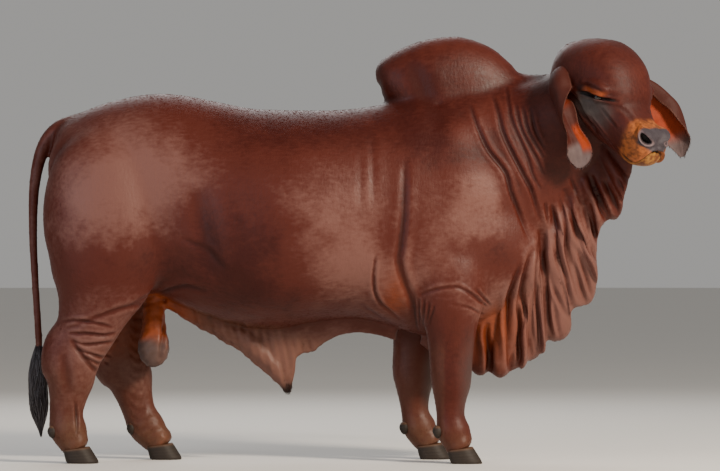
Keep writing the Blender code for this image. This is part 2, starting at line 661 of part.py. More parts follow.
def lock(spine, outward, width, thick):
    """A flat, tapered, bent lock of hair along a spine, lying across an outward direction."""
    verts = []
    count = len(spine) - 1
    for i in range(count):
        along = (spine[i + 1] - spine[max(0, i - 1)]).normalized()
        out = (outward - along * along.dot(outward)).normalized()
        side = along.cross(out)
        size = math.sin(math.pi * (0.22 + 0.62 * i / count))
        verts += [spine[i] + side * width / 2 * size, spine[i] + out * thick / 2 * size]
        verts += [spine[i] - side * width / 2 * size, spine[i] - out * thick / 2 * size]
    verts.append(spine[-1])
    faces = [(0, 1, 2, 3)]
    for i in range(count - 1):
        for j in range(4):
            k = (j + 1) % 4
            faces.append((4 * i + j, 4 * i + k, 4 * i + 4 + k, 4 * i + 4 + j))
    faces += [(4 * count - 4 + j, 4 * count - 4 + (j + 1) % 4, 4 * count) for j in range(4)]
    return new_object("lock", verts, faces)


def switch():
    """The tail's switch: a core with overlapping locks that hang round it and past its tip."""
    rng = random.Random(11)
    rows = smooth_rows(SWITCH, 4)
    core = [at_share(rows, share) for share in (0.0, 0.12, 0.26, 0.40, 0.52)]
    core = [(x, y, z, *[0.80 * r * (1 - 0.5 * (i == 4))] * 3) for i, (x, y, z, r) in enumerate(core)]
    core = loft("tail_switch", core, steps=1, around=10, power=2.0)
    locks = bpy.data.collections.new("locks")
    for i in range(SWITCH_LOCKS):
        start = 0.02 + 0.46 * (i * 4 % SWITCH_LOCKS) / SWITCH_LOCKS
        end = min(1.0, start + rng.uniform(0.50, 0.62))
        angle = 2 * math.pi * i / SWITCH_LOCKS
        outward = Vector((math.cos(angle), math.sin(angle), 0))
        spine = []
        for k in range(5):
            share = start + (end - start) * k / 4
            x, y, z, radius = at_share(rows, share)
            lift = radius * (0.50 + 0.45 * math.sin(math.pi * min(1, k / 4 + 0.12)))
            spine.append(Vector((x, y, z)) + outward * lift)
        spine[-1].z -= rng.uniform(0.0, 0.02)
        piece = lock(spine, outward, rng.uniform(0.028, 0.036), 0.016)
        bpy.context.scene.collection.objects.unlink(piece)
        locks.objects.link(piece)
    bpy.context.scene.collection.children.link(locks)
    union = core.modifiers.new("Locks", "BOOLEAN")
    union.operation = "UNION"
    union.solver = "EXACT"
    union.operand_type = "COLLECTION"
    union.collection = locks
    apply_modifiers(core)
    for piece in list(locks.objects):
        bpy.data.objects.remove(piece)
    bpy.data.collections.remove(locks)
    keep_largest(core)
    return core


def feet():
    """Name, middle of the hoof and middle of the fetlock of each foot."""
    out = []
    for side, word in ((RIGHT, "right"), (LEFT, "left")):
        hind = LEFT_HIND_STEP if side == LEFT else NO_STEP
        fore = LEFT_FORE_STEP if side == LEFT else NO_STEP
        for limb, rows, step in (("hind", HIND_LEG, hind), ("fore", FORE_LEG, fore)):
            moved = step_rows(rows, side, step)
            heights = [-row[2] for row in moved]
            fetlock = float(np.interp(-DEWCLAW_HEIGHT, heights, [row[0] for row in moved]))
            out.append((f"{limb}_{word}", moved[-1][0] + 0.018, moved[-1][1], fetlock))
    return out


def open_head(flesh):
    """Cuts the eyes' sockets and lid slits, the nostrils and the line between the lips."""
    place = head_matrix()
    for side in (RIGHT, LEFT):
        x, y, z = EYE_PLACE
        cuts = [
            blob("socket", (x, side * y, z), [EYE_RADIUS + 2 * GAP] * 3, detail=3),
            blob("slit", (x + 0.002, side * (y + 0.022), z), LID_SLIT, Matrix.Rotation(-LID_TILT, 3, "Y"), 3),
        ]
        x, y, z = NOSTRIL_PLACE
        cuts.append(blob("nostril", (x, side * y, z), NOSTRIL_REACH, Matrix.Rotation(side * math.radians(35), 3, "Z"), 3))
        for cut in cuts:
            cut.data.transform(place)
            boolean(flesh, cut, "DIFFERENCE")
            bpy.data.objects.remove(cut)
    inner = [(x, -y) for x, y in LIPS] + [(x, y) for x, y in reversed(LIPS)]
    outline = [(LIPS[0][0], 0.14), (0.66, 0.14), (0.66, -0.14), (LIPS[0][0], -0.14), *inner]
    lay = Matrix.Translation(MOUTH_CORNER) @ Matrix.Rotation(-MOUTH_RISE, 4, "Y")
    lay = lay @ Matrix.Translation((-MOUTH_CORNER[0], 0, 0)) @ Matrix.Rotation(math.radians(-90), 4, "X")
    mouth = prism("mouth", [(x, -y) for x, y in outline], -MOUTH_GAP / 2, MOUTH_GAP / 2, place @ lay)
    boolean(flesh, mouth, "DIFFERENCE")
    bpy.data.objects.remove(mouth)


def paint(node, slot):
    """Gives the node its material."""
    material = bpy.data.materials.get(slot)
    if material is None:
        material = bpy.data.materials.new(slot)
        material.use_nodes = True
        shader = material.node_tree.nodes["Principled BSDF"]
        shader.inputs["Base Color"].default_value = (*COLOURS[slot], 1)
        shader.inputs["Roughness"].default_value = 0.2 if slot == "eye" else 0.6
        shader.inputs["Metallic"].default_value = 0.0
    node.data.materials.clear()
    node.data.materials.append(material)


def clear_scene():
    """Removes every object."""
    for thing in list(bpy.data.objects):
        bpy.data.objects.remove(thing)


def main():
    clear_scene()
    bodies = [loft("trunk", TRUNK, around=40, power=2.3, crown=0.10)]
    bodies += [loft("neck", NECK, power=2.1, crown=0.15), loft("hump", HUMP, power=2.1)]
    bodies += muscle_bodies() + head_bodies() + scrotum_bodies()
    bodies += legs(RIGHT) + legs(LEFT)
    bodies.append(loft("tail", [(x, y, z, r, r, r) for x, y, z, r in TAIL], around=14, power=2.0))
    bodies.append(hanging_fold("dewlap", DEWLAP_ROOT, DEWLAP_EDGE, neck_middle, (0.38, 0.17), 0.032, 17, 0.015, 0.024))
    bodies.append(hanging_fold("sheath", SHEATH_ROOT, SHEATH_EDGE, belly_middle, (0.10, 0.10), 0.020))
    tube = [(x, 0, z, r, r, r * 1.05) for x, z, r in SHEATH_TUBE]
    bodies.append(loft("prepuce", tube, around=18, power=2.0))
    flesh = fused("torso", bodies, FUSE_VOXEL, SMOOTH_ROUNDS)
    keep_largest(flesh)
    thin_out(flesh, FLESH_TRIANGLES)
    whole = flesh.copy()
    whole.data = flesh.data.copy()
    bpy.context.scene.collection.objects.link(whole)

    nodes = []
    for word, x, y, fetlock in feet():
        cut_coronet(flesh, x, y)
        for mark, offset in (("outer", 1), ("inner", -1)):
            side = offset * math.copysign(1, y)
            nodes.append((claw(f"claw_{word}_{mark}", x, y + side * CLAW_SPREAD, side), "horny"))
            spur = blob(f"dewclaw_{word}_{mark}", (fetlock - DEWCLAW_BACK, y + side * DEWCLAW_SPREAD, DEWCLAW_HEIGHT), DEWCLAW_REACH, detail=2)
            seat(spur, whole)
            nodes.append((spur, "horny"))
    for name, rows, opens in (("ear_right", EAR_RIGHT, EAR_RIGHT_OPENS), ("ear_left", EAR_LEFT, EAR_LEFT_OPENS)):
        leaf = ear(name, rows, opens)
        seat(leaf, whole)
        nodes.append((leaf, "ear"))
    brush = switch()
    seat(brush, whole)
    nodes.append((brush, "hair"))
    bpy.data.objects.remove(whole)

    open_head(flesh)
    for side, word in ((RIGHT, "right"), (LEFT, "left")):
        x, y, z = EYE_PLACE
        ball = blob(f"eye_{word}", (x, side * y, z), [EYE_RADIUS] * 3, detail=3)
        ball.data.transform(head_matrix())
        nodes.append((ball, "eye"))
    regions = [("head", HEAD_REGION, -0.30, 0.30, head_matrix()), ("hump", HUMP_REGION, -0.3, 0.3)]
    regions += [("tail", TAIL_REGION, -0.075, 0.055), ("scrotum", SCROTUM_REGION, -0.082, 0.082)]
    regions += [("sheath", SHEATH_REGION, -0.095, 0.095)]
    regions += [("leg_hind_right", HIND_REGION, -0.5, -0.0002), ("leg_hind_left", HIND_REGION, 0.0002, 0.5)]
    regions += [("leg_fore_right", FORE_REGION, -0.5, -0.085), ("leg_fore_left", LEFT_FORE_REGION, 0.085, 0.5)]
    regions += [("dewlap", DEWLAP_REGION, -0.6, 0.4), ("neck", NECK_REGION, -0.6, 0.5)]
    for name, outline, low, high, *frame in regions:
        nodes.append((carve(flesh, name, outline, low, high, *frame), "hide"))
    keep_largest(flesh)
    nodes.append((flesh, "hide"))

    corners = [node.matrix_world @ vertex.co for node, _ in nodes for vertex in node.data.vertices]
    low = Vector([min(c[k] for c in corners) for k in range(3)])
    high = Vector([max(c[k] for c in corners) for k in range(3)])
    for node, slot in nodes:
        node.data.transform(Matrix.Translation((-(low.x + high.x) / 2, -(low.y + high.y) / 2, -low.z)))
        paint(node, slot)


main()
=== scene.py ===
"""A life-size standing humped bull of a heavy zebu breed, dressed over its solids.

One skin stands for all the flesh. It is lofted, fused and smoothed like the solids, then
folded and wrinkled, and it carries its markings as attributes. Ears, eyes, hooves, the
tail's switch and the tufts of the coat are pieces of their own. Metres, +Z up, facing +X.
"""

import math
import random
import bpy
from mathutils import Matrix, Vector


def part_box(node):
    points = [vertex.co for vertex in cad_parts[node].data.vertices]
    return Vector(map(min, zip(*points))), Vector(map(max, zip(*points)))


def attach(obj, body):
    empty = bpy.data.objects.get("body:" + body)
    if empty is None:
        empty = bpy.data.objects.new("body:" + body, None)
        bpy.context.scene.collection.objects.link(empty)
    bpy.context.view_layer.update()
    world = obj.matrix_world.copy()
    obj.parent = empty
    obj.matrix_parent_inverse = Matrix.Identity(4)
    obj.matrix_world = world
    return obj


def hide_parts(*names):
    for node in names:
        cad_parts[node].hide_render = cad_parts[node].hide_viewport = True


bl_info = {
    "name": "Humped bull",
    "version": (1, 0, 0),
    "blender": (4, 5, 0),
    "location": "View3D > Sidebar > Bull",
    "description": "Builds the skin, coat, ears, eyes and hooves of a life-size bull",
    "category": "Add Mesh",
}

import bmesh
import bpy
import numpy as np
from mathutils import Matrix, Vector
from mathutils.bvhtree import BVHTree
from mathutils.geometry import barycentric_transform

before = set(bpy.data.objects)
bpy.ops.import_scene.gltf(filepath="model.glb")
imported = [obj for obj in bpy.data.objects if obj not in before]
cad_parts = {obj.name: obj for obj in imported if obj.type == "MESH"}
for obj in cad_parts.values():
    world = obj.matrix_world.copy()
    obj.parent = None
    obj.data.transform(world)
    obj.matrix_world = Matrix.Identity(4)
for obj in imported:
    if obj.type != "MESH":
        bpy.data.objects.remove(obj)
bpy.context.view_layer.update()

# Columns and rows of the grid on each side of a hanging fold.
FOLD_GRID = (300, 34)

# Sides: the bull's right side is -Y, its left side +Y.
RIGHT = -1
LEFT = 1

# Trunk rows: x, lateral y, height of the widest line, reach up, reach down, half width.
TRUNK = (
    (-1.262, 0, 1.115, 0.145, 0.300, 0.110),
    (-1.225, 0, 1.115, 0.250, 0.370, 0.180),
    (-1.120, 0, 1.117, 0.315, 0.410, 0.245),
    (-0.976, 0, 1.120, 0.366, 0.450, 0.280),
    (-0.832, 0, 1.110, 0.402, 0.440, 0.300),
    (-0.668, 0, 1.070, 0.416, 0.420, 0.318),
    (-0.504, 0, 1.010, 0.454, 0.430, 0.350),
    (-0.340, 0, 0.970, 0.475, 0.430, 0.372),
    (-0.176, 0, 0.960, 0.479, 0.390, 0.372),
    (-0.012, 0, 0.960, 0.485, 0.375, 0.352),
    (0.152, 0, 0.970, 0.500, 0.430, 0.325),
    (0.316, 0, 0.980, 0.555, 0.470, 0.312),
    (0.480, 0, 1.020, 0.555, 0.430, 0.275),
    (0.600, 0, 1.080, 0.495, 0.380, 0.215),
    (0.700, 0, 1.130, 0.360, 0.250, 0.140),
)
# Neck rows, same columns, from inside the shoulders to inside the skull.
NECK = (
    (0.400, 0.000, 1.200, 0.340, 0.400, 0.265),
    (0.560, -0.005, 1.240, 0.340, 0.440, 0.240),
    (0.690, -0.020, 1.300, 0.285, 0.380, 0.212),
    (0.800, -0.055, 1.370, 0.225, 0.300, 0.188),
    (0.890, -0.105, 1.440, 0.175, 0.230, 0.168),
    (0.950, -0.160, 1.490, 0.120, 0.160, 0.125),
)
# Hump and crest rows, same columns.
HUMP = (
    (0.072, 0, 1.575, 0.020, 0.020, 0.030),
    (0.100, 0, 1.578, 0.072, 0.070, 0.078),
    (0.152, 0, 1.570, 0.125, 0.120, 0.112),
    (0.234, 0, 1.550, 0.186, 0.170, 0.135),
    (0.336, 0, 1.520, 0.231, 0.200, 0.142),
    (0.439, 0, 1.490, 0.234, 0.200, 0.134),
    (0.521, 0, 1.455, 0.212, 0.180, 0.118),
    (0.603, -0.005, 1.420, 0.183, 0.160, 0.100),
    (0.705, -0.025, 1.410, 0.180, 0.150, 0.086),
    (0.800, -0.060, 1.430, 0.165, 0.140, 0.080),
    (0.880, -0.100, 1.460, 0.140, 0.120, 0.070),
)
# Muscle masses: x, lateral y from the midline, z, reach along x, y and z, tilt in degrees.
MUSCLES = (
    (0.350, 0.170, 1.060, 0.240, 0.130, 0.360, 8),
    (0.285, 0.195, 0.850, 0.190, 0.122, 0.200, -25),
    (0.490, 0.145, 1.040, 0.150, 0.120, 0.230, 20),
    (0.370, 0.165, 0.740, 0.145, 0.112, 0.170, 0),
    (-1.180, 0.105, 1.190, 0.085, 0.080, 0.150, 0),
)
# Hind limb rows down from the hip: x, lateral y, z, reach forward, reach back, half width.
HIND_LEG = (
    (-0.980, 0.150, 1.340, 0.110, 0.130, 0.070),
    (-1.000, 0.172, 1.210, 0.205, 0.232, 0.122),
    (-1.015, 0.184, 1.050, 0.245, 0.262, 0.142),
    (-1.030, 0.186, 0.900, 0.256, 0.247, 0.142),
    (-1.045, 0.182, 0.790, 0.245, 0.208, 0.132),
    (-1.055, 0.176, 0.700, 0.200, 0.180, 0.112),
    (-1.075, 0.170, 0.615, 0.148, 0.148, 0.094),
    (-1.105, 0.165, 0.530, 0.120, 0.130, 0.080),
    (-1.148, 0.162, 0.455, 0.114, 0.135, 0.072),
    (-1.166, 0.160, 0.395, 0.112, 0.126, 0.070),
    (-1.168, 0.158, 0.335, 0.098, 0.105, 0.064),
    (-1.178, 0.156, 0.270, 0.080, 0.080, 0.053),
    (-1.186, 0.156, 0.200, 0.070, 0.070, 0.050),
    (-1.180, 0.156, 0.140, 0.078, 0.076, 0.062),
    (-1.160, 0.156, 0.095, 0.070, 0.066, 0.060),
    (-1.140, 0.156, 0.055, 0.074, 0.066, 0.064),
    (-1.135, 0.156, 0.020, 0.060, 0.050, 0.050),
)
# Fore leg rows, same columns.
FORE_LEG = (
    (0.360, 0.205, 0.820, 0.150, 0.160, 0.104),
    (0.370, 0.203, 0.720, 0.150, 0.150, 0.107),
    (0.378, 0.200, 0.640, 0.132, 0.142, 0.102),
    (0.380, 0.196, 0.560, 0.106, 0.112, 0.088),
    (0.378, 0.191, 0.460, 0.092, 0.094, 0.074),
    (0.376, 0.188, 0.375, 0.088, 0.086, 0.074),
    (0.377, 0.186, 0.315, 0.082, 0.080, 0.071),
    (0.376, 0.183, 0.250, 0.064, 0.066, 0.055),
    (0.377, 0.182, 0.190, 0.058, 0.060, 0.051),
    (0.386, 0.181, 0.135, 0.070, 0.070, 0.062),
    (0.402, 0.180, 0.095, 0.064, 0.062, 0.059),
    (0.420, 0.180, 0.055, 0.070, 0.062, 0.064),
    (0.424, 0.180, 0.020, 0.056, 0.048, 0.050),
)
# Where the left legs stand, as (height, shift along x) from the right ones.
LEFT_HIND_STEP = (
    (0.02, 0.325), (0.10, 0.315), (0.20, 0.280), (0.34, 0.222), (0.45, 0.165), (0.62, 0.075),
    (0.90, 0.010),
)
LEFT_FORE_STEP = ((0.02, -0.120), (0.20, -0.140), (0.38, -0.150), (0.60, -0.125), (0.82, -0.040))

# Claws of a hoof.
CLAW_LENGTH = 0.128
CLAW_WIDTH = 0.062
CORONET_HEIGHT = 0.064
CORONET_SLOPE = 0.14
CLAW_LEAN = 0.46
CLAW_SPREAD = 0.0335
DEWCLAW_REACH = (0.020, 0.018, 0.026)
# Height of the dewclaws, their place behind the middle of the fetlock, and their spread.
DEWCLAW_HEIGHT = 0.128
DEWCLAW_BACK = 0.066
DEWCLAW_SPREAD = 0.030

# The head has its own frame: x along the face from the poll, z out of the forehead.
HEAD_ORIGIN = (0.945, -0.125, 1.690)
HEAD_TURN = math.radians(48)
HEAD_DIP = math.radians(35)
SKULL = (
    (-0.084, 0, -0.093, 0.022, 0.028, 0.030),
    (-0.074, 0, -0.092, 0.058, 0.072, 0.076),
    (-0.052, 0, -0.090, 0.088, 0.110, 0.112),
    (-0.005, 0, -0.088, 0.122, 0.132, 0.148),
    (0.060, 0, -0.080, 0.152, 0.160, 0.162),
    (0.130, 0, -0.072, 0.172, 0.188, 0.164),
    (0.200, 0, -0.074, 0.166, 0.200, 0.158),
    (0.265, 0, -0.092, 0.137, 0.182, 0.138),
    (0.330, 0, -0.118, 0.100, 0.147, 0.113),
    (0.395, 0, -0.134, 0.083, 0.122, 0.095),
    (0.450, 0, -0.144, 0.082, 0.109, 0.087),
    (0.500, 0, -0.145, 0.080, 0.100, 0.085),
    (0.535, 0, -0.142, 0.066, 0.080, 0.073),
    (0.555, 0, -0.138, 0.036, 0.045, 0.045),
)
# Head masses in the head's frame: x, lateral y, z, and reach along x, y and z.
HEAD_MASSES = (
    (0.225, 0.122, -0.040, 0.080, 0.038, 0.044),
    (0.150, 0.098, -0.190, 0.090, 0.044, 0.080),
    (0.070, 0.105, -0.060, 0.060, 0.044, 0.060),
    (0.500, 0.046, -0.100, 0.046, 0.036, 0.036),
    (0.475, 0.050, -0.165, 0.056, 0.036, 0.046),
    (0.485, 0.014, -0.214, 0.050, 0.046, 0.032),
)
EYE_PLACE = (0.261, 0.128, -0.071)
EYE_RADIUS = 0.022
LID_RADIUS = 0.031
NOSTRIL_PLACE = (0.520, 0.052, -0.098)
# Half width of the line between the lips.
MOUTH_GAP = 0.0045

# Ears: spine from inside the head to the tip, width of the leaf, its cup in degrees, thickness.
EAR_RIGHT = (
    (0.850, -0.165, 1.590, 0.080, 190, 0.014),
    (0.808, -0.205, 1.590, 0.120, 190, 0.013),
    (0.783, -0.245, 1.568, 0.165, 185, 0.012),
    (0.775, -0.282, 1.523, 0.190, 180, 0.010),
    (0.790, -0.300, 1.470, 0.180, 150, 0.009),
    (0.826, -0.300, 1.411, 0.125, 115, 0.009),
    (0.855, -0.293, 1.351, 0.084, 105, 0.008),
    (0.874, -0.293, 1.312, 0.092, 80, 0.008),
    (0.889, -0.292, 1.268, 0.112, 50, 0.007),
    (0.892, -0.290, 1.226, 0.086, 40, 0.006),
    (0.890, -0.290, 1.197, 0.020, 40, 0.005),
)
EAR_LEFT = (
    (1.010, -0.020, 1.570, 0.080, 150, 0.014),
    (1.070, 0.035, 1.568, 0.100, 145, 0.013),
    (1.130, 0.078, 1.540, 0.125, 130, 0.012),
    (1.192, 0.110, 1.498, 0.145, 110, 0.010),
    (1.232, 0.125, 1.460, 0.150, 100, 0.009),
    (1.272, 0.130, 1.423, 0.148, 90, 0.009),
    (1.305, 0.130, 1.369, 0.130, 80, 0.008),
    (1.329, 0.125, 1.311, 0.105, 65, 0.007),
    (1.339, 0.115, 1.249, 0.018, 45, 0.005),
)
# The way each ear opens, at shares of its length.
EAR_RIGHT_TURNS = (
    (0.0, 0.85, 0.45, -0.10),
    (0.36, 0.88, 0.30, -0.10),
    (0.52, 0.70, -0.70, 0.0),
    (0.70, 0.30, -1.00, 0.0),
    (1.0, 0.20, -1.00, 0.0),
)
EAR_LEFT_TURNS = ((0.0, -0.15, -1.00, 0.0), (1.0, -0.30, -1.00, 0.10))
# The edge that rolls over towards the opening, and how far in degrees.
EAR_RIGHT_ROLL = (1, 25)
EAR_LEFT_ROLL = (-1, 125)

# Tail rows: x, y, z and three times the radius.
TAIL = (
    (-1.080, 0, 1.395, 0.050),
    (-1.185, 0, 1.378, 0.042),
    (-1.262, 0, 1.330, 0.034),
    (-1.304, -0.004, 1.245, 0.029),
    (-1.327, -0.008, 1.120, 0.024),
    (-1.332, -0.012, 0.950, 0.020),
    (-1.324, -0.014, 0.760, 0.0175),
    (-1.314, -0.014, 0.600, 0.017),
    (-1.308, -0.014, 0.500, 0.017),
    (-1.308, -0.014, 0.440, 0.015),
)
SWITCH = (
    (-1.307, -0.014, 0.478, 0.020),
    (-1.312, -0.014, 0.400, 0.030),
    (-1.312, -0.014, 0.300, 0.038),
    (-1.306, -0.014, 0.200, 0.034),
    (-1.298, -0.014, 0.105, 0.008),
)

# Hanging folds: edge and root outlines in the XZ plane, from the rear to the front.
DEWLAP_EDGE = (
    (0.250, 0.480), (0.360, 0.405), (0.459, 0.368), (0.500, 0.352), (0.541, 0.362), (0.578, 0.344),
    (0.615, 0.356), (0.640, 0.378), (0.672, 0.380), (0.700, 0.408), (0.730, 0.424), (0.765, 0.450),
    (0.776, 0.494), (0.806, 0.492), (0.850, 0.506), (0.876, 0.545), (0.874, 0.610), (0.892, 0.632),
    (0.935, 0.636), (0.968, 0.672), (0.982, 0.750), (0.978, 0.850), (0.986, 0.945), (1.010, 0.982),
    (1.050, 0.990), (1.076, 1.030), (1.084, 1.100), (1.110, 1.180), (1.120, 1.250),
)
DEWLAP_ROOT = (
    (0.300, 0.640), (0.450, 0.680), (0.580, 0.730), (0.670, 0.800), (0.725, 0.885), (0.765, 0.975),
    (0.810, 1.070), (0.870, 1.180), (0.940, 1.280), (1.000, 1.350),
)
SHEATH_EDGE = (
    (-0.790, 0.635), (-0.700, 0.570), (-0.585, 0.505), (-0.468, 0.432), (-0.388, 0.360),
    (-0.310, 0.300), (-0.283, 0.272), (-0.262, 0.330), (-0.250, 0.425), (-0.190, 0.442),
    (-0.150, 0.472), (-0.082, 0.510), (0.000, 0.524), (0.080, 0.512), (0.160, 0.486),
)
SHEATH_ROOT = (
    (-0.790, 0.690), (-0.650, 0.680), (-0.500, 0.620), (-0.350, 0.580), (-0.200, 0.600),
    (-0.050, 0.620), (0.080, 0.600), (0.160, 0.560),
)
SHEATH_TIP = (-0.283, 0.290)
SHEATH_TUBE = (
    (-0.780, 0.665, 0.040),
    (-0.690, 0.622, 0.046),
    (-0.560, 0.560, 0.048),
    (-0.440, 0.482, 0.044),
    (-0.350, 0.390, 0.034),
    (-0.300, 0.315, 0.022),
    (-0.286, 0.278, 0.012),
)
# The scrotum: the middle of it along x, and its rows.
PURSE_X = -0.838
SCROTUM = (
    (-0.840, 0, 0.690, 0.050, 0.050, 0.050),
    (-0.838, 0, 0.620, 0.048, 0.048, 0.052),
    (-0.838, 0, 0.540, 0.056, 0.054, 0.066),
    (-0.838, 0, 0.470, 0.064, 0.060, 0.072),
    (-0.836, 0, 0.415, 0.056, 0.052, 0.058),
    (-0.834, 0, 0.392, 0.030, 0.028, 0.030),
)


# Pleats of the dewlap: each valley's place on the free edge and on the root, from the rear.
DEWLAP_VALLEYS = (
    (0.466, 0.367, 0.489, 0.695),
    (0.535, 0.351, 0.599, 0.732),
    (0.619, 0.359, 0.676, 0.817),
    (0.658, 0.378, 0.692, 0.842),
    (0.699, 0.402, 0.708, 0.866),
    (0.748, 0.439, 0.721, 0.886),
    (0.790, 0.470, 0.741, 0.927),
    (0.885, 0.570, 0.766, 0.988),
    (0.930, 0.630, 0.795, 1.040),
    (0.969, 0.723, 0.823, 1.090),
    (0.978, 0.800, 0.847, 1.143),
    (0.990, 0.900, 0.871, 1.192),
    (1.030, 0.980, 0.904, 1.232),
    (1.070, 1.050, 0.945, 1.294),
    (1.100, 1.150, 0.975, 1.325),
)

# Creases down the dewlap between its pleats: width, depth and a line of x and z.
DEWLAP_FOLDS = (
    (0.0109, 0.0184, ((0.537, 0.34), (0.537, 0.414), (0.533, 0.472), (0.525, 0.517), (0.529, 0.57))),
    (0.0109, 0.0184, ((0.623, 0.357), (0.619, 0.435), (0.615, 0.496), (0.607, 0.57), (0.611, 0.66),
        (0.636, 0.742), (0.664, 0.816))),
    (0.0093, 0.0184, ((0.664, 0.398), (0.656, 0.496), (0.66, 0.558), (0.652, 0.64), (0.656, 0.701),
        (0.672, 0.775))),
    (0.0093, 0.0149, ((0.709, 0.431), (0.693, 0.537), (0.681, 0.619), (0.668, 0.681), (0.677, 0.763),
        (0.693, 0.824), (0.718, 0.882))),
    (0.0093, 0.0149, ((0.75, 0.463), (0.738, 0.558), (0.726, 0.66), (0.722, 0.742), (0.726, 0.824),
        (0.734, 0.906))),
    (0.0124, 0.0207, ((0.779, 0.488), (0.763, 0.578), (0.754, 0.66), (0.746, 0.742), (0.75, 0.816),
        (0.75, 0.886), (0.738, 0.955))),
    (0.0093, 0.0149, ((0.8, 0.504), (0.783, 0.57), (0.775, 0.66), (0.771, 0.722), (0.763, 0.791),
        (0.75, 0.865))),
    (0.0078, 0.008, ((0.857, 0.586), (0.832, 0.636), (0.812, 0.677), (0.791, 0.726), (0.779, 0.783))),
    (0.0124, 0.0207, ((0.882, 0.619), (0.857, 0.689), (0.853, 0.742), (0.832, 0.791), (0.812, 0.845),
        (0.808, 0.906), (0.795, 0.98), (0.775, 1.046))),
    (0.0093, 0.0138, ((0.91, 0.644), (0.89, 0.709), (0.873, 0.763), (0.857, 0.824), (0.845, 0.886),
        (0.845, 0.968), (0.828, 1.05), (0.812, 1.099))),
    (0.0078, 0.0103, ((0.959, 0.668), (0.939, 0.734), (0.914, 0.808), (0.89, 0.877))),
    (0.0124, 0.0161, ((0.988, 0.816), (0.947, 0.861), (0.918, 0.898), (0.89, 0.939), (0.873, 0.996),
        (0.857, 1.058), (0.836, 1.119))),
    (0.0093, 0.0115, ((0.984, 0.882), (0.964, 0.939), (0.951, 1.009), (0.939, 1.058))),
    (0.0124, 0.0184, ((1.021, 0.972), (0.996, 1.021), (0.98, 1.074), (0.959, 1.119), (0.943, 1.169))),
    (0.0093, 0.0138, ((1.062, 1.005), (1.041, 1.062), (1.017, 1.111), (1, 1.152))),
    (0.0093, 0.0115, ((1.091, 1.05), (1.07, 1.111), (1.046, 1.16))),
    (0.0078, 0.0072, ((0.73, 0.447), (0.713, 0.525), (0.705, 0.599), (0.697, 0.668), (0.701, 0.734))),
    (0.0078, 0.0072, ((0.828, 0.504), (0.812, 0.57), (0.8, 0.636), (0.791, 0.677))),
    (0.0078, 0.0072, ((0.935, 0.644), (0.914, 0.701), (0.898, 0.754), (0.877, 0.816))),
)
DEEPEST_VALLEY = 0.018
HIGHEST_ROLL = 0.012
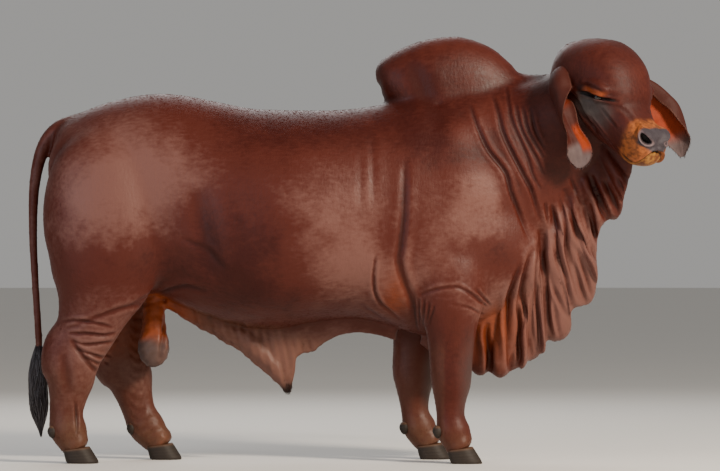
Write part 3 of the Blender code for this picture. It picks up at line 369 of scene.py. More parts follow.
# Creases of the body seen from the side, in the same columns.
BODY_CREASES = (
    (0.008, 0.010, ((0.457, 1.457), (0.485, 1.364), (0.526, 1.271), (0.595, 1.182), (0.619, 1.101),
        (0.663, 0.988), (0.692, 0.911))),
    (0.008, 0.011, ((0.550, 1.497), (0.570, 1.421), (0.584, 1.348), (0.619, 1.267), (0.663, 1.182),
        (0.704, 1.101), (0.740, 0.980))),
    (0.006, 0.007, ((0.605, 1.534), (0.613, 1.453), (0.620, 1.400), (0.647, 1.332), (0.684, 1.247),
        (0.712, 1.162), (0.744, 1.109))),
    (0.006, 0.008, ((0.641, 1.461), (0.655, 1.372), (0.684, 1.307), (0.724, 1.234), (0.756, 1.166))),
    (0.006, 0.008, ((0.667, 1.449), (0.684, 1.364), (0.712, 1.307), (0.752, 1.239))),
    (0.006, 0.007, ((0.698, 1.441), (0.718, 1.348), (0.756, 1.271))),
    (0.034, 0.008, ((0.215, 1.640), (0.250, 1.550), (0.290, 1.450), (0.350, 1.370))),
    (0.014, 0.010, ((0.192, 1.230), (0.189, 1.156), (0.185, 1.008), (0.173, 0.887), (0.165, 0.818),
        (0.185, 0.738), (0.217, 0.657), (0.233, 0.569), (0.249, 0.496))),
    (0.006, 0.008, ((0.072, 0.847), (0.063, 0.766), (0.068, 0.698), (0.093, 0.649), (0.125, 0.621),
        (0.169, 0.585))),
    (0.008, 0.005, ((0.020, 0.641), (0.060, 0.609), (0.165, 0.545))),
    (0.004, 0.006, ((0.254, 0.500), (0.233, 0.593), (0.225, 0.681))),
    (0.004, 0.006, ((0.258, 0.504), (0.249, 0.593), (0.245, 0.673))),
    (0.004, 0.006, ((0.262, 0.512), (0.264, 0.593), (0.266, 0.669))),
    (0.004, 0.005, ((0.270, 0.529), (0.282, 0.601), (0.286, 0.661))),
    (0.004, 0.005, ((0.278, 0.545), (0.294, 0.597), (0.310, 0.645))),
    (0.006, 0.005, ((0.241, 0.681), (0.310, 0.706), (0.382, 0.718), (0.427, 0.706), (0.483, 0.665),
        (0.535, 0.633))),
    (0.005, 0.006, ((0.475, 0.714), (0.511, 0.669), (0.539, 0.637))),
    (0.005, 0.004, ((0.435, 0.706), (0.485, 0.669), (0.527, 0.629))),
    (0.005, 0.004, ((0.390, 0.649), (0.459, 0.629), (0.515, 0.597))),
    (0.014, 0.0018, ((0.010, 1.260), (0.016, 1.000))),
    (0.014, 0.0022, ((0.056, 1.349), (0.066, 1.040))),
    (0.008, 0.010, ((-0.786, 0.610), (-0.795, 0.520), (-0.812, 0.410))),
    (0.006, 0.006, ((-1.202, 0.576), (-1.137, 0.580), (-1.060, 0.570), (-0.992, 0.554))),
    (0.006, 0.008, ((-1.173, 0.528), (-1.093, 0.528), (-1.028, 0.521), (-0.980, 0.532))),
    (0.006, 0.008, ((-1.157, 0.500), (-1.105, 0.484), (-1.028, 0.489), (-0.984, 0.496))),
    (0.006, 0.008, ((-1.137, 0.467), (-1.072, 0.440), (-1.016, 0.424))),
    (0.006, 0.007, ((-1.105, 0.435), (-1.060, 0.408), (-1.028, 0.392))),
    (0.009, 0.009, ((-1.161, 0.504), (-1.125, 0.451), (-1.072, 0.387), (-1.036, 0.355))),
    (0.009, 0.006, ((-1.177, 0.548), (-1.060, 0.592), (-0.952, 0.629), (-0.831, 0.653),
        (-0.694, 0.705))),
    (0.010, 0.009, ((-0.931, 0.641), (-0.794, 0.693), (-0.698, 0.717), (-0.609, 0.697))),
    (0.020, 0.006, ((-1.195, 0.450), (-1.185, 0.383), (-1.170, 0.280))),
    (0.005, 0.008, ((-1.147, 0.254), (-1.141, 0.189), (-1.139, 0.117))),
    (0.012, 0.004, ((-0.720, 0.920), (-0.617, 0.867), (-0.530, 0.780))),
    (0.040, 0.010, ((-0.650, 1.120), (-0.615, 0.940), (-0.580, 0.760))),
    (0.006, 0.007, ((0.759, 1.061), (0.773, 0.968))),
    (0.006, 0.008, ((0.785, 1.053), (0.816, 0.951), (0.830, 0.886))),
    (0.006, 0.007, ((0.826, 1.098), (0.858, 1.021), (0.879, 0.964), (0.936, 0.874))),
    (0.006, 0.006, ((0.858, 1.167), (0.883, 1.110), (0.911, 1.049))),
    (0.005, 0.006, ((0.952, 1.118), (0.972, 1.061), (1.003, 0.992))),
    (0.005, 0.005, ((1.009, 1.110), (1.033, 1.053), (1.045, 1.012))),
    (0.006, 0.006, ((0.915, 1.045), (0.931, 0.980), (0.940, 0.923))),
)
# The same for the side of the head, in the head's own frame.
HEAD_CREASES = (
    (0.012, 0.010, ((0.037, -0.089), (0.115, -0.130), (0.176, -0.137), (0.233, -0.172), (0.300, -0.200),
        (0.384, -0.216))),
    (0.006, 0.009, ((0.176, -0.128), (0.215, -0.152), (0.262, -0.190), (0.306, -0.222),
        (0.350, -0.240))),
    (0.006, 0.008, ((0.170, -0.160), (0.215, -0.195), (0.255, -0.240))),
    (0.004, 0.006, ((0.206, -0.166), (0.295, -0.204), (0.386, -0.237))),
    (0.004, 0.006, ((0.248, -0.177), (0.329, -0.204), (0.412, -0.234))),
    (0.004, 0.005, ((0.270, -0.162), (0.347, -0.193), (0.421, -0.220))),
    (0.008, 0.004, ((0.175, -0.072), (0.215, -0.045), (0.262, -0.033), (0.305, -0.036))),
    (0.006, 0.003, ((0.336, -0.055), (0.382, -0.062), (0.433, -0.076), (0.466, -0.093))),
    (0.006, 0.003, ((0.294, -0.100), (0.350, -0.120), (0.400, -0.135))),
)
# The slit between the lids, from its rear end to its front end.
EYE_SLIT = ((0.183, -0.099), (0.215, -0.084), (0.250, -0.073), (0.290, -0.060), (0.335, -0.041))

# Soft patches of the coat seen from the side, the paler ones painted sheen and the darker ones painted
# shade with some real darker hair: x, z, reach along x and z, and how much paler.
SHEEN_AND_SHADE_PATCHES = (
    (-0.93, 1.12, 0.24, 0.20, 0.95),
    (-0.76, 1.24, 0.18, 0.12, 0.40),
    (-1.10, 1.00, 0.12, 0.20, 0.30),
    (-0.12, 1.02, 0.30, 0.17, 0.55),
    (0.02, 0.80, 0.26, 0.13, 0.60),
    (0.46, 1.02, 0.16, 0.16, 0.55),
    (0.52, 1.28, 0.12, 0.20, 0.75),
    (0.62, 1.36, 0.08, 0.12, 0.20),
    (0.72, 0.60, 0.24, 0.24, 1.25),
    (0.90, 0.80, 0.14, 0.22, 0.90),
    (-0.10, 0.74, 0.34, 0.10, 0.30),
    (-0.46, 0.84, 0.22, 0.24, -0.80),
    (-0.30, 0.68, 0.22, 0.10, -0.50),
    (-0.95, 0.80, 0.26, 0.10, -0.50),
    (-1.00, 0.45, 0.22, 0.26, 0.45),
    (-0.35, 0.43, 0.36, 0.14, 1.00),
    (-0.90, 1.36, 0.30, 0.07, 0.30),
    (0.16, 0.92, 0.08, 0.16, -0.50),
    (0.30, 1.30, 0.14, 0.14, -0.50),
    (0.30, 1.56, 0.26, 0.15, -0.65),
    (0.58, 0.80, 0.09, 0.11, -0.60),
    (0.50, 0.86, 0.10, 0.05, -0.35),
    (0.40, 0.40, 0.12, 0.26, -0.60),
    (0.64, 1.05, 0.05, 0.20, -0.45),
    (-0.25, 1.36, 0.60, 0.12, -0.60),
    (0.68, 1.46, 0.22, 0.16, -0.60),
    (0.80, 1.26, 0.12, 0.16, -0.75),
    (0.98, 1.20, 0.12, 0.09, -0.60),
)

# The bull's place in the frame, from where the solids' right eye sits.
EYE_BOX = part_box("eye_right")
# The solids that the skin stands for.
FLESH = (
    "torso", "neck", "hump", "head", "dewlap", "sheath", "scrotum", "tail", "leg_fore_right",
    "leg_fore_left", "leg_hind_right", "leg_hind_left",
)


def linear(hex_colour):
    """An sRGB hex colour as linear red, green, blue and alpha."""
    parts = [int(hex_colour[i : i + 2], 16) / 255 for i in (0, 2, 4)]
    return (*[c / 12.92 if c <= 0.04045 else ((c + 0.055) / 1.055) ** 2.4 for c in parts], 1.0)


def ramp(value, low, high):
    """0 below low, 1 above high and a straight line between, for numbers and arrays."""
    return np.clip((value - low) / (high - low), 0.0, 1.0)


def smooth_ramp(value, low, high):
    """The same with eased ends."""
    t = ramp(value, low, high)
    return t * t * (3 - 2 * t)


def bell(value, middle, width):
    """A smooth hump of height 1 round a middle."""
    return np.exp(-(((value - middle) / width) ** 2))


def mound(x, z, middle, reach):
    """The same over a plane, with its middle and its reach along both."""
    return np.exp(-(((x - middle[0]) / reach[0]) ** 2) - ((z - middle[1]) / reach[1]) ** 2)


def band(value, start, full, fading, gone):
    """0 outside a band and 1 inside it, with eased ends."""
    return smooth_ramp(value, start, full) * (1 - smooth_ramp(value, fading, gone))


def smooth_rows(rows, steps):
    """Rows of numbers joined by a smooth curve through them, with a few steps between each two."""
    rows = np.array(rows, float)
    padded = np.vstack([2 * rows[0] - rows[1], rows, 2 * rows[-1] - rows[-2]])
    out = []
    for i in range(1, len(padded) - 2):
        a, b, c, d = padded[i - 1 : i + 3]
        for k in range(steps):
            t = k / steps
            low_terms = 2 * b + (c - a) * t + (2 * a - 5 * b + 4 * c - d) * t**2
            out.append(0.5 * (low_terms + (3 * b - a - 3 * c + d) * t**3))
    out.append(rows[-1])
    return np.array(out)


def at_share(rows, share):
    """The point at a share of the way along rows of a curve, by its own length."""
    steps = np.r_[0, np.cumsum(np.linalg.norm(np.diff(rows, axis=0), axis=1))]
    target = share * steps[-1]
    return np.array([np.interp(target, steps, rows[:, k]) for k in range(rows.shape[1])])


def share_near(rows, point):
    """The share of the way along a curve where it passes nearest to a point."""
    steps = np.r_[0, np.cumsum(np.linalg.norm(np.diff(rows, axis=0), axis=1))]
    return steps[np.argmin(np.linalg.norm(rows - np.array(point), axis=1))] / steps[-1]


def new_object(name, verts, faces):
    """A mesh object of these vertices and faces, with its normals facing out."""
    mesh = bpy.data.meshes.new(name)
    mesh.from_pydata([tuple(v) for v in verts], [], faces)
    work = bmesh.new()
    work.from_mesh(mesh)
    bmesh.ops.recalc_face_normals(work, faces=work.faces)
    work.to_mesh(mesh)
    work.free()
    made = bpy.data.objects.new(name, mesh)
    bpy.context.scene.collection.objects.link(made)
    return made


def tube_faces(rings, around):
    """Faces that join rings of vertices in order, with a fan at each end to a pole vertex."""
    faces = []
    for i in range(rings - 1):
        for j in range(around):
            k = (j + 1) % around
            faces.append((i * around + j, i * around + k, (i + 1) * around + k, (i + 1) * around + j))
    first, last = rings * around, rings * around + 1
    for j in range(around):
        k = (j + 1) % around
        faces.append((j, k, first))
        faces.append(((rings - 1) * around + j, (rings - 1) * around + k, last))
    return faces


def shell_faces(rows, columns, flipped=False):
    """Faces of two like grids, one after the other, closed along their common rim."""
    count = rows * columns
    faces = []
    for i in range(rows - 1):
        for j in range(columns - 1):
            a = i * columns + j
            b = a + columns
            ways = [(a, a + 1, b + 1, b), (a, b, b + 1, a + 1)]
            if flipped:
                ways.reverse()
            faces.append(ways[0])
            faces.append(tuple(count + k for k in ways[1]))
    rim = [i * columns for i in range(rows)] + [(rows - 1) * columns + j for j in range(1, columns)]
    rim += [i * columns + columns - 1 for i in range(rows - 2, -1, -1)] + list(range(columns - 2, 0, -1))
    for a, b in zip(rim, rim[1:] + rim[:1]):
        faces.append((a, b, count + b, count + a))
    return faces


def loft(name, rows, steps=6, around=40, power=2.25, crown=0.0):
    """A closed body through rows of x, y, z, reach up or forward, reach down or back, half width."""
    rows = smooth_rows(rows, steps)
    centres = rows[:, :3]
    tangents = np.gradient(centres, axis=0)
    verts = []
    for centre, tangent, (up, down, side) in zip(centres, tangents, rows[:, 3:6]):
        along = Vector(tangent).normalized()
        lateral = (Vector((0, 1, 0)) - along * along.y).normalized()
        upward = along.cross(lateral)
        for j in range(around):
            angle = 2 * math.pi * j / around
            c, s = math.cos(angle), math.sin(angle)
            level = math.copysign(abs(s) ** (2 / power), s)
            wide = math.copysign(abs(c) ** (2 / power), c) * (1 - crown * max(level, 0) ** 2)
            verts.append(Vector(centre) + upward * level * (up if s > 0 else down) + lateral * wide * side)
    verts += [Vector(centres[0]), Vector(centres[-1])]
    return new_object(name, verts, tube_faces(len(rows), around))


def blob(name, centre, reach, turn=Matrix.Identity(3), detail=4):
    """An ellipsoid of this reach along its own axes, turned and set at its centre."""
    bpy.ops.mesh.primitive_ico_sphere_add(subdivisions=detail, radius=1)
    made = bpy.context.object
    made.name = name
    made.data.transform(Matrix.Translation(centre) @ turn.to_4x4() @ Matrix.Diagonal((*reach, 1)))
    return made


def head_matrix():
    """The head's frame before the bull is set in its place: turned to the right and dipped."""
    turned = Matrix.Translation(HEAD_ORIGIN) @ Matrix.Rotation(-HEAD_TURN, 4, "Z")
    return turned @ Matrix.Rotation(HEAD_DIP, 4, "Y")


def place_matrix():
    """From the rows' own frame to the frame of the solids."""
    eye = head_matrix() @ Vector((EYE_PLACE[0], RIGHT * EYE_PLACE[1], EYE_PLACE[2]))
    return Matrix.Translation((EYE_BOX[0] + EYE_BOX[1]) / 2 - eye)


def head_place():
    """The head's frame where the bull stands."""
    return place_matrix() @ head_matrix()


def hanging_fold(name, root, edge, middle, thick_root, thick_edge, valleys=(), sway=0.0, swell=0.0):
    """A closed fold of skin between a root line and a free edge, with pleats between valleys."""
    columns, depth = FOLD_GRID
    root_line, edge_line = smooth_rows(root, 12), smooth_rows(edge, 12)
    marks = [(share_near(edge_line, (a, b)), share_near(root_line, (c, d))) for a, b, c, d in valleys]
    marks = np.array([(0.0, 0.0), *marks, (1.0, 1.0)])
    sides = {RIGHT: [], LEFT: []}
    for i in range(columns):
        place = (len(marks) - 1) * i / (columns - 1)
        low = np.interp(place, range(len(marks)), marks[:, 0])
        high = np.interp(place, range(len(marks)), marks[:, 1])
        top, bottom = at_share(root_line, high), at_share(edge_line, low)
        ridge = abs(math.sin(math.pi * place)) ** 0.5 if valleys else 1.0
        turn = 1 if int(place) % 2 else -1
        ends = min(1, 3 * place, 3 * (len(marks) - 1 - place)) if valleys else 1.0
        share = i / (columns - 1)
        for j in range(depth):
            t = j / (depth - 1)
            x, z = top + (bottom - top) * t
            wave = turn * sway * ridge * ends * t**0.9
            thick = thick_root[0] + (thick_root[1] - thick_root[0]) * float(ramp(share, 0.55, 0.90))
            buried = 0.72 + 0.28 * float(smooth_ramp(t, 0.0, 0.28))
            half = (thick + (thick_edge - thick) * t**0.72) / 2 * buried
            drop = 0.010 * (ridge - 0.6) * ends * t**5 if valleys else 0.0
            for side in sides:
                puff = swell * ridge * ends * t**0.55
                round_off = math.sqrt(max(0, 1 - max(0, (t - 0.86) / 0.14) ** 2))
                out = side * (half + puff) * (0.25 + 0.75 * round_off)
                sides[side].append((x, middle(x, z) + wave + out, z - drop))
    return new_object(name, sides[RIGHT] + sides[LEFT], shell_faces(columns, depth))


def neck_middle(x, z):
    """Lateral place of the dewlap's middle plane: it follows the neck towards the turned head."""
    reach = np.clip((x - 0.72) / 0.40, 0.0, 1.0) * np.clip((z - 0.65) / 0.45, 0.0, 1.0)
    return -0.20 * reach**1.2


def belly_middle(x, z):
    """Lateral place of the sheath's middle plane."""
    return 0.0


def step_rows(rows, side, step):
    """Leg rows for one side, moved along x by the step at each height."""
    heights = [h for h, _ in step]
    shifts = [s for _, s in step]
    return [(x + float(np.interp(z, heights, shifts)), side * y, z, *more) for x, y, z, *more in rows]


def steps_of(side):
    """The steps of the hind and the fore leg of one side."""
    unmoved = ((0.0, 0.0), (2.0, 0.0))
    return (LEFT_HIND_STEP, LEFT_FORE_STEP) if side == LEFT else (unmoved, unmoved)


def tucked(rows):
    """Leg rows whose last ones round off over the top of the claws, in a soft band."""
    x, y = rows[-1][:2]
    ends = [(x - 0.013, y, 0.080, 0.060, 0.062, 0.064), (x - 0.004, y, 0.062, 0.044, 0.058, 0.059)]
    return rows[:-2] + ends + [(x, y, 0.052, 0.020, 0.030, 0.030)]


def legs(side):
    """The hind limb and fore limb bodies of one side."""
    hind, fore = steps_of(side)
    return [
        loft("hind", tucked(step_rows(HIND_LEG, side, hind)), power=2.1),
        loft("fore", tucked(step_rows(FORE_LEG, side, fore)), power=2.1),
    ]


def muscle_bodies():
    """Shoulder, elbow, hip and pin masses on both sides."""
    made = []
    for x, y, z, along, across, tall, tilt in MUSCLES:
        for side in (RIGHT, LEFT):
            turn = Matrix.Rotation(math.radians(tilt), 3, "Y")
            made.append(blob("muscle", (x, side * y, z), (along, across, tall), turn))
    return made


def head_bodies():
    """The skull and the masses of brow, cheek, muzzle and chin."""
    made = [loft("skull", SKULL, power=2.35)]
    for x, y, z, *reach in HEAD_MASSES:
        for side in (RIGHT, LEFT):
            made.append(blob("mass", (x, side * y, z), reach))
    x, y, z = EYE_PLACE
    for side in (RIGHT, LEFT):
        reach = (LID_RADIUS, LID_RADIUS * 0.9, LID_RADIUS * 0.85)
        made.append(blob("lid", (x, side * (y - 0.003), z), reach))
    for body in made:
        body.data.transform(head_matrix())
    return made


def scrotum_bodies():
    """Two testes side by side under one neck of skin."""
    return [loft("scrotum", SCROTUM, power=2.0)] + [
        blob("testis", (PURSE_X, side * 0.036, 0.468), (0.066, 0.040, 0.086)) for side in (RIGHT, LEFT)
    ]


def apply_modifiers(thing):
    """Replaces the object's mesh by what its modifiers make of it."""
    bpy.ops.object.select_all(action="DESELECT")
    thing.select_set(True)
    bpy.context.view_layer.objects.active = thing
    for modifier in list(thing.modifiers):
        bpy.ops.object.modifier_apply(modifier=modifier.name)


def points_of(thing):
    """The vertices' places as rows."""
    flat = np.empty(len(thing.data.vertices) * 3)
    thing.data.vertices.foreach_get("co", flat)
    return flat.reshape(-1, 3)


def normals_of(thing):
    """The vertices' normals as rows."""
    flat = np.empty(len(thing.data.vertices) * 3)
    thing.data.vertices.foreach_get("normal", flat)
    return flat.reshape(-1, 3)


def put_points(thing, points):
    """Sets the vertices' places."""
    thing.data.vertices.foreach_set("co", np.ascontiguousarray(points, np.float32).ravel())
    thing.data.update()


def to_frame(matrix, rows, turn_only=False):
    """Rows of points, or of directions, taken through a matrix."""
    m = np.array(matrix)
    return rows @ m[:3, :3].T + (0 if turn_only else m[:3, 3])


def smooth_by(thing, weights, rounds):
    """Smooths the mesh, each vertex as far as its weight says."""
    group = thing.vertex_groups.new(name="soft")
    grades = 12
    levels = np.round(weights * grades).astype(int)
    for level in range(1, grades + 1):
        chosen = np.nonzero(levels == level)[0]
        if len(chosen):
            group.add(chosen.tolist(), level / grades, "REPLACE")
    soften = thing.modifiers.new("Soften", "SMOOTH")
    soften.vertex_group = group.name
    soften.factor = 0.5
    soften.iterations = rounds
    apply_modifiers(thing)
    thing.vertex_groups.clear()


def fused(name, bodies, voxel):
    """The bodies as one skin, remeshed."""
    verts, faces = [], []
    for body in bodies:
        start = len(verts)
        verts += [v.co.copy() for v in body.data.vertices]
        faces += [[start + i for i in p.vertices] for p in body.data.polygons]
        bpy.data.objects.remove(body)
    mesh = bpy.data.meshes.new(name)
    mesh.from_pydata(verts, [], faces)
    made = bpy.data.objects.new(name, mesh)
    bpy.context.scene.collection.objects.link(made)
    remesh = made.modifiers.new("Fuse", "REMESH")
    remesh.mode = "VOXEL"
    remesh.voxel_size = voxel
    apply_modifiers(made)
    return made


def broad_share(points):
    """How far the flesh is smoothed broadly: all of the trunk, none of head, legs and folds."""
    x, y, z = points.T
    share = ramp(x, -1.24, -1.16) * ramp(z, 0.66, 0.80) * (1 - ramp(x, 0.60, 0.80))
    fold = 1 - ramp(x + 0.45 * (1 - z), 0.50, 0.66) * (1 - ramp(abs(y), 0.16, 0.24))
    saddle = 0.8 * ramp(x, 0.16, 0.28) * (1 - ramp(z, 1.58, 1.68))
    hump = 1 - ramp(z, 1.46, 1.50) * ramp(x, -0.02, 0.06) * (1 - saddle)
    return share * fold * hump


def mild_share(points, local):
    """How far the flesh is smoothed a little more than the finest forms: not on face, pleats and feet."""
    x, y, z = points.T
    face = ramp(local[:, 0], 0.02, 0.12) * ramp(z, 1.15, 1.25)
    pleats = ramp(x, 0.40, 0.52) * (1 - ramp(z - 0.9 * x, 0.28, 0.42)) * (1 - ramp(abs(y), 0.14, 0.20))
    throat = ramp(x, 0.74, 0.84) * (1 - ramp(z, 1.28, 1.38))
    return (1 - face) * (1 - pleats) * (1 - throat) * ramp(z, 0.05, 0.12)


def join_share(points, local):
    """How far the joins of dewlap, sheath and poll are smoothed."""
    x, y, z = points.T
    gap = along_line(points[:, [0, 2]], smooth_rows(DEWLAP_ROOT, 4))[0]
    root = (1 - smooth_ramp(gap, 0.025, 0.075)) * (abs(y) < 0.34)
    from_poll = np.linalg.norm(local - [0, 0, -0.05], axis=1)
    poll = (1 - smooth_ramp(local[:, 0], 0.0, 0.10)) * (from_poll < 0.26)
    belly = band(x, 0.02, 0.12, 0.17, 0.21) * (z < 0.60) * (z > 0.44) * (abs(y) < 0.13)
    return np.clip(np.maximum.reduce([root, poll, belly]), 0, 1)


def along_line(plane, line):
    """Distance of plane points from a line of points, the share along it, and the signed side."""
    line = np.array(line, float)
    total = np.linalg.norm(np.diff(line, axis=0), axis=1).sum()
    nearest = np.full(len(plane), 1e9)
    share, side = np.zeros(len(plane)), np.zeros(len(plane))
    run = 0.0
    for a, b in zip(line[:-1], line[1:]):
        step = b - a
        size = np.hypot(*step)
        t = np.clip((plane - a) @ step / size**2, 0, 1)
        off = plane - (a + t[:, None] * step)
        gap = np.hypot(off[:, 0], off[:, 1])
        closer = gap < nearest
        nearest[closer] = gap[closer]
        share[closer] = (run + t[closer] * size) / total
        side[closer] = np.sign(step[0] * off[:, 1] - step[1] * off[:, 0])[closer]
        run += size
    return nearest, share, side


def crease(plane, facing, line, width, depth):
    """Height change of a crease with a soft roll of skin on each side, and its painted shade: dark in the
    valley, paler on the rolls.
    """
    line = smooth_rows(line, 4)
    reach = 4.5 * width
    low, high = line.min(0) - reach, line.max(0) + reach
    chosen = np.nonzero(((plane > low) & (plane < high)).all(1) & (facing > 0.05))[0]
    change, dark = np.zeros(len(plane)), np.zeros(len(plane))
    if not len(chosen):
        return change, dark
    gap, share, side = along_line(plane[chosen], line)
    taper = np.clip(np.sin(math.pi * np.clip(share, 0.001, 0.999)), 0, 1) ** 0.6
    taper *= (gap < reach) * np.clip(facing[chosen] * 2, 0, 1)
    valley = bell(gap, 0, width)
    roll = 0.42 * bell(gap, 2.1 * width, 1.3 * width) * (1 + 0.35 * side)
    change[chosen] = depth * taper * (roll - valley)
    # Painted shade in the valley and a painted highlight on the rolls.
    deep = min(1.0, depth / 0.016) ** 1.5
    dark[chosen] = deep * taper * (0.8 * valley - 0.40 * roll)
    return change, dark


def fold_body(skin):
    """Creases of neck, dewlap, shoulder, flank and legs, on the left in slightly other places."""
    points, normals = points_of(skin), normals_of(skin)
    rng = random.Random(4)
    change, dark = np.zeros(len(points)), np.zeros(len(points))
    x, y, z = points.T
    from_middle = y - neck_middle(x, z)
    for side in (RIGHT, LEFT):
        facing = np.where(from_middle * side > -0.10, normals[:, 1] * side, 0)
        for width, depth, line in (*BODY_CREASES, *DEWLAP_FOLDS):
            line = np.array(line)
            if side == LEFT:
                step = LEFT_HIND_STEP if line[:, 0].mean() < -0.7 else LEFT_FORE_STEP
                if line[:, 1].min() < 0.75 and line[:, 0].mean() < 0.44:
                    line[:, 0] += np.interp(line[:, 1], *np.array(step).T)
                line = line + [rng.uniform(-0.012, 0.012), rng.uniform(-0.012, 0.012)]
            height, valley = crease(points[:, [0, 2]], facing, line, width, depth)
            change += height
            dark += valley
    # Valleys stop short of the fold's middle, so that those of its two sides don't meet.
    room = np.minimum(DEEPEST_VALLEY, 0.35 * abs(from_middle))
    put_points(skin, points + normals * np.clip(change, -room, HIGHEST_ROLL)[:, None])
    gap, share, way = along_line(points[:, [0, 2]], smooth_rows(DEWLAP_ROOT, 4))
    pleats = 0.7 * (way < 0) * (x > 0.40) * (abs(y) < 0.30) * (z > 0.30) * (gap < 0.5)
    smooth_by(skin, np.clip(np.maximum(abs(change) / 0.008, pleats), 0, 1), 9)
    # The painted shade of the creases.
    return dark


def fold_sheath(skin):
    """Faint cross wrinkles along the sheath and down the scrotum."""
    points, normals = points_of(skin), normals_of(skin)
    x, y, z = points.T
    along = band(x, -0.76, -0.66, 0.05, 0.15)
    on_sheath = along * (1 - smooth_ramp(z + 0.30 * x, 0.40, 0.47)) * (abs(y) < 0.12)
    waves = np.sin(2 * math.pi * (x * 13 + 0.6 * np.sin(7 * x)))
    waves = waves + 0.6 * np.sin(2 * math.pi * (x * 31 + z * 6))
    on_purse = (abs(x - PURSE_X) < 0.10) * (abs(y) < 0.11) * (1 - smooth_ramp(z, 0.60, 0.68))
    ribs = np.sin(2 * math.pi * (z * 24 + 3 * y + 0.5 * np.sin(40 * x)))
    change = 0.0022 * on_sheath * waves + 0.0012 * on_purse * ribs
    cleft = -0.012 * bell(y, 0, 0.010) * on_purse * smooth_ramp(z, 0.36, 0.44)
    put_points(skin, points + normals * (change + cleft)[:, None])


def fold_head(skin):
    """Lids, brow, nostrils, lips and the creases of the face, in the head's own frame."""
    place = head_matrix()
    back = place.inverted()
    points = to_frame(back, points_of(skin))
    normals = to_frame(back, normals_of(skin), True)
    x, y, z = points.T
    near = np.nonzero((x > -0.06) & (x < 0.62) & (abs(y) < 0.24) & (z > -0.30))[0]
    p, n = points[near], normals[near]
    dark = np.zeros(len(points))
    for side in (RIGHT, LEFT):
        facing = np.where(p[:, 1] * side > 0.04, n[:, 1] * side, 0)
        change = np.zeros(len(p))
        for width, depth, line in HEAD_CREASES:
            height, valley = crease(p[:, [0, 2]], facing, line, width, depth)
            change += height
            dark[near] += valley
        gap, share, way = along_line(p[:, [0, 2]], smooth_rows(EYE_SLIT, 6))
        taper = np.sin(math.pi * np.clip(share, 0.02, 0.98)) ** 0.5 * np.clip(facing * 2.5, 0, 1)
        lid_rims = 0.0045 * bell(gap, 0.011, 0.0055) - 0.007 * bell(gap, 0, 0.0045)
        brow_and_bag = np.where(way > 0, 0.006 * bell(gap, 0.040, 0.016), -0.002 * bell(gap, 0.024, 0.006))
        change += taper * (lid_rims + brow_and_bag)
        p = p + n * change[:, None]
        p = open_eye(p, side, gap, share, facing)
        p = open_nostril(p, n, side)
    p = part_lips(p, n)
    points[near] = p
    put_points(skin, to_frame(place, points))
    # The painted shade of the creases.
    return dark


def open_eye(p, side, gap, share, facing):
    """Wraps the lids round the eyeball, and opens them in a narrow slit."""
    centre = np.array((EYE_PLACE[0], side * EYE_PLACE[1], EYE_PLACE[2]))
    off = p - centre
    reach = np.linalg.norm(off, axis=1)
    way = off / np.maximum(reach, 1e-6)[:, None]
    outward = np.clip(way[:, 1] * side * 2.2, 0, 1) * (reach < 0.050)
    opening = 0.0068 * np.clip(np.sin(math.pi * ramp(share, 0.26, 0.78)), 0, 1) ** 0.6
    shut = EYE_RADIUS + 0.0042 * outward
    lidded = np.where((outward > 0) & (gap > opening), np.maximum(reach, shut), reach)
    apart = smooth_ramp(opening - gap, -0.0012, 0.0012) * (outward > 0.2)
    lidded = lidded + (np.minimum(lidded, EYE_RADIUS - 0.004) - lidded) * apart
    return centre + way * lidded[:, None]


def nostril_ring(p, side):
    """How far points are from the nostril's middle, 1 on its rim, and the way it opens."""
    centre = np.array((NOSTRIL_PLACE[0] - 0.006, side * NOSTRIL_PLACE[1], NOSTRIL_PLACE[2]))
    axis = np.array((0.72, side * 0.66, 0.10))
    axis /= np.linalg.norm(axis)
    up = np.array((0.25, -side * 0.30, 1.0))
    up -= axis * (up @ axis)
    up /= np.linalg.norm(up)
    across = np.cross(axis, up) * side
    off = p - centre
    u, v = off @ across, off @ up
    v = v - 4.5 * u**2 + 0.001
    return np.sqrt((u / 0.030) ** 2 + (v / 0.0150) ** 2) + 9 * (abs(off @ axis) > 0.05), axis


def open_nostril(p, n, side):
    """Sinks a comma-shaped nostril with a raised rim."""
    ring, axis = nostril_ring(p, side)
    close = n @ axis > -0.2
    sink = -0.028 * (1 - smooth_ramp(ring, 0.45, 1.05)) * close
    rim = 0.0060 * bell(ring, 1.35, 0.28) * close
    return p + axis * sink[:, None] + n * rim[:, None]


def mouth_gap(p):
    """Height above the line of the mouth, which is high in front and drops under the hanging lip."""
    round_way = abs(p[:, 1]) + (0.556 - p[:, 0])
    level = -0.140 - 0.076 * smooth_ramp(round_way, 0.02, 0.10) + 0.10 * np.maximum(0, 0.47 - p[:, 0])
    return p[:, 2] - level


def part_lips(p, n):
    """The line of the mouth with the upper lip over the lower one."""
    gap = mouth_gap(p)
    share = smooth_ramp(p[:, 0], 0.400, 0.450)
    front = smooth_ramp(p[:, 0], 0.47, 0.53)
    change = -(0.004 + 0.009 * front) * bell(gap, 0, MOUTH_GAP)
    change += (0.002 + 0.006 * front) * bell(gap, 0.014, 0.009)
    change -= 0.007 * front * smooth_ramp(-gap, 0.0, 0.010)
    groove = bell(p[:, 1], 0, 0.006) * front * (gap > 0) * (1 - smooth_ramp(gap, 0.04, 0.06))
    return p + n * (share * change - 0.005 * groove)[:, None]


def refine(skin, chosen):
    """Halves the faces round the chosen vertices."""
    work = bmesh.new()
    work.from_mesh(skin.data)
    work.verts.ensure_lookup_table()
    picked = set(chosen.tolist())
    edges = [e for e in work.edges if e.verts[0].index in picked and e.verts[1].index in picked]
    bmesh.ops.subdivide_edges(work, edges=edges, cuts=1, use_grid_fill=True)
    work.to_mesh(skin.data)
    work.free()


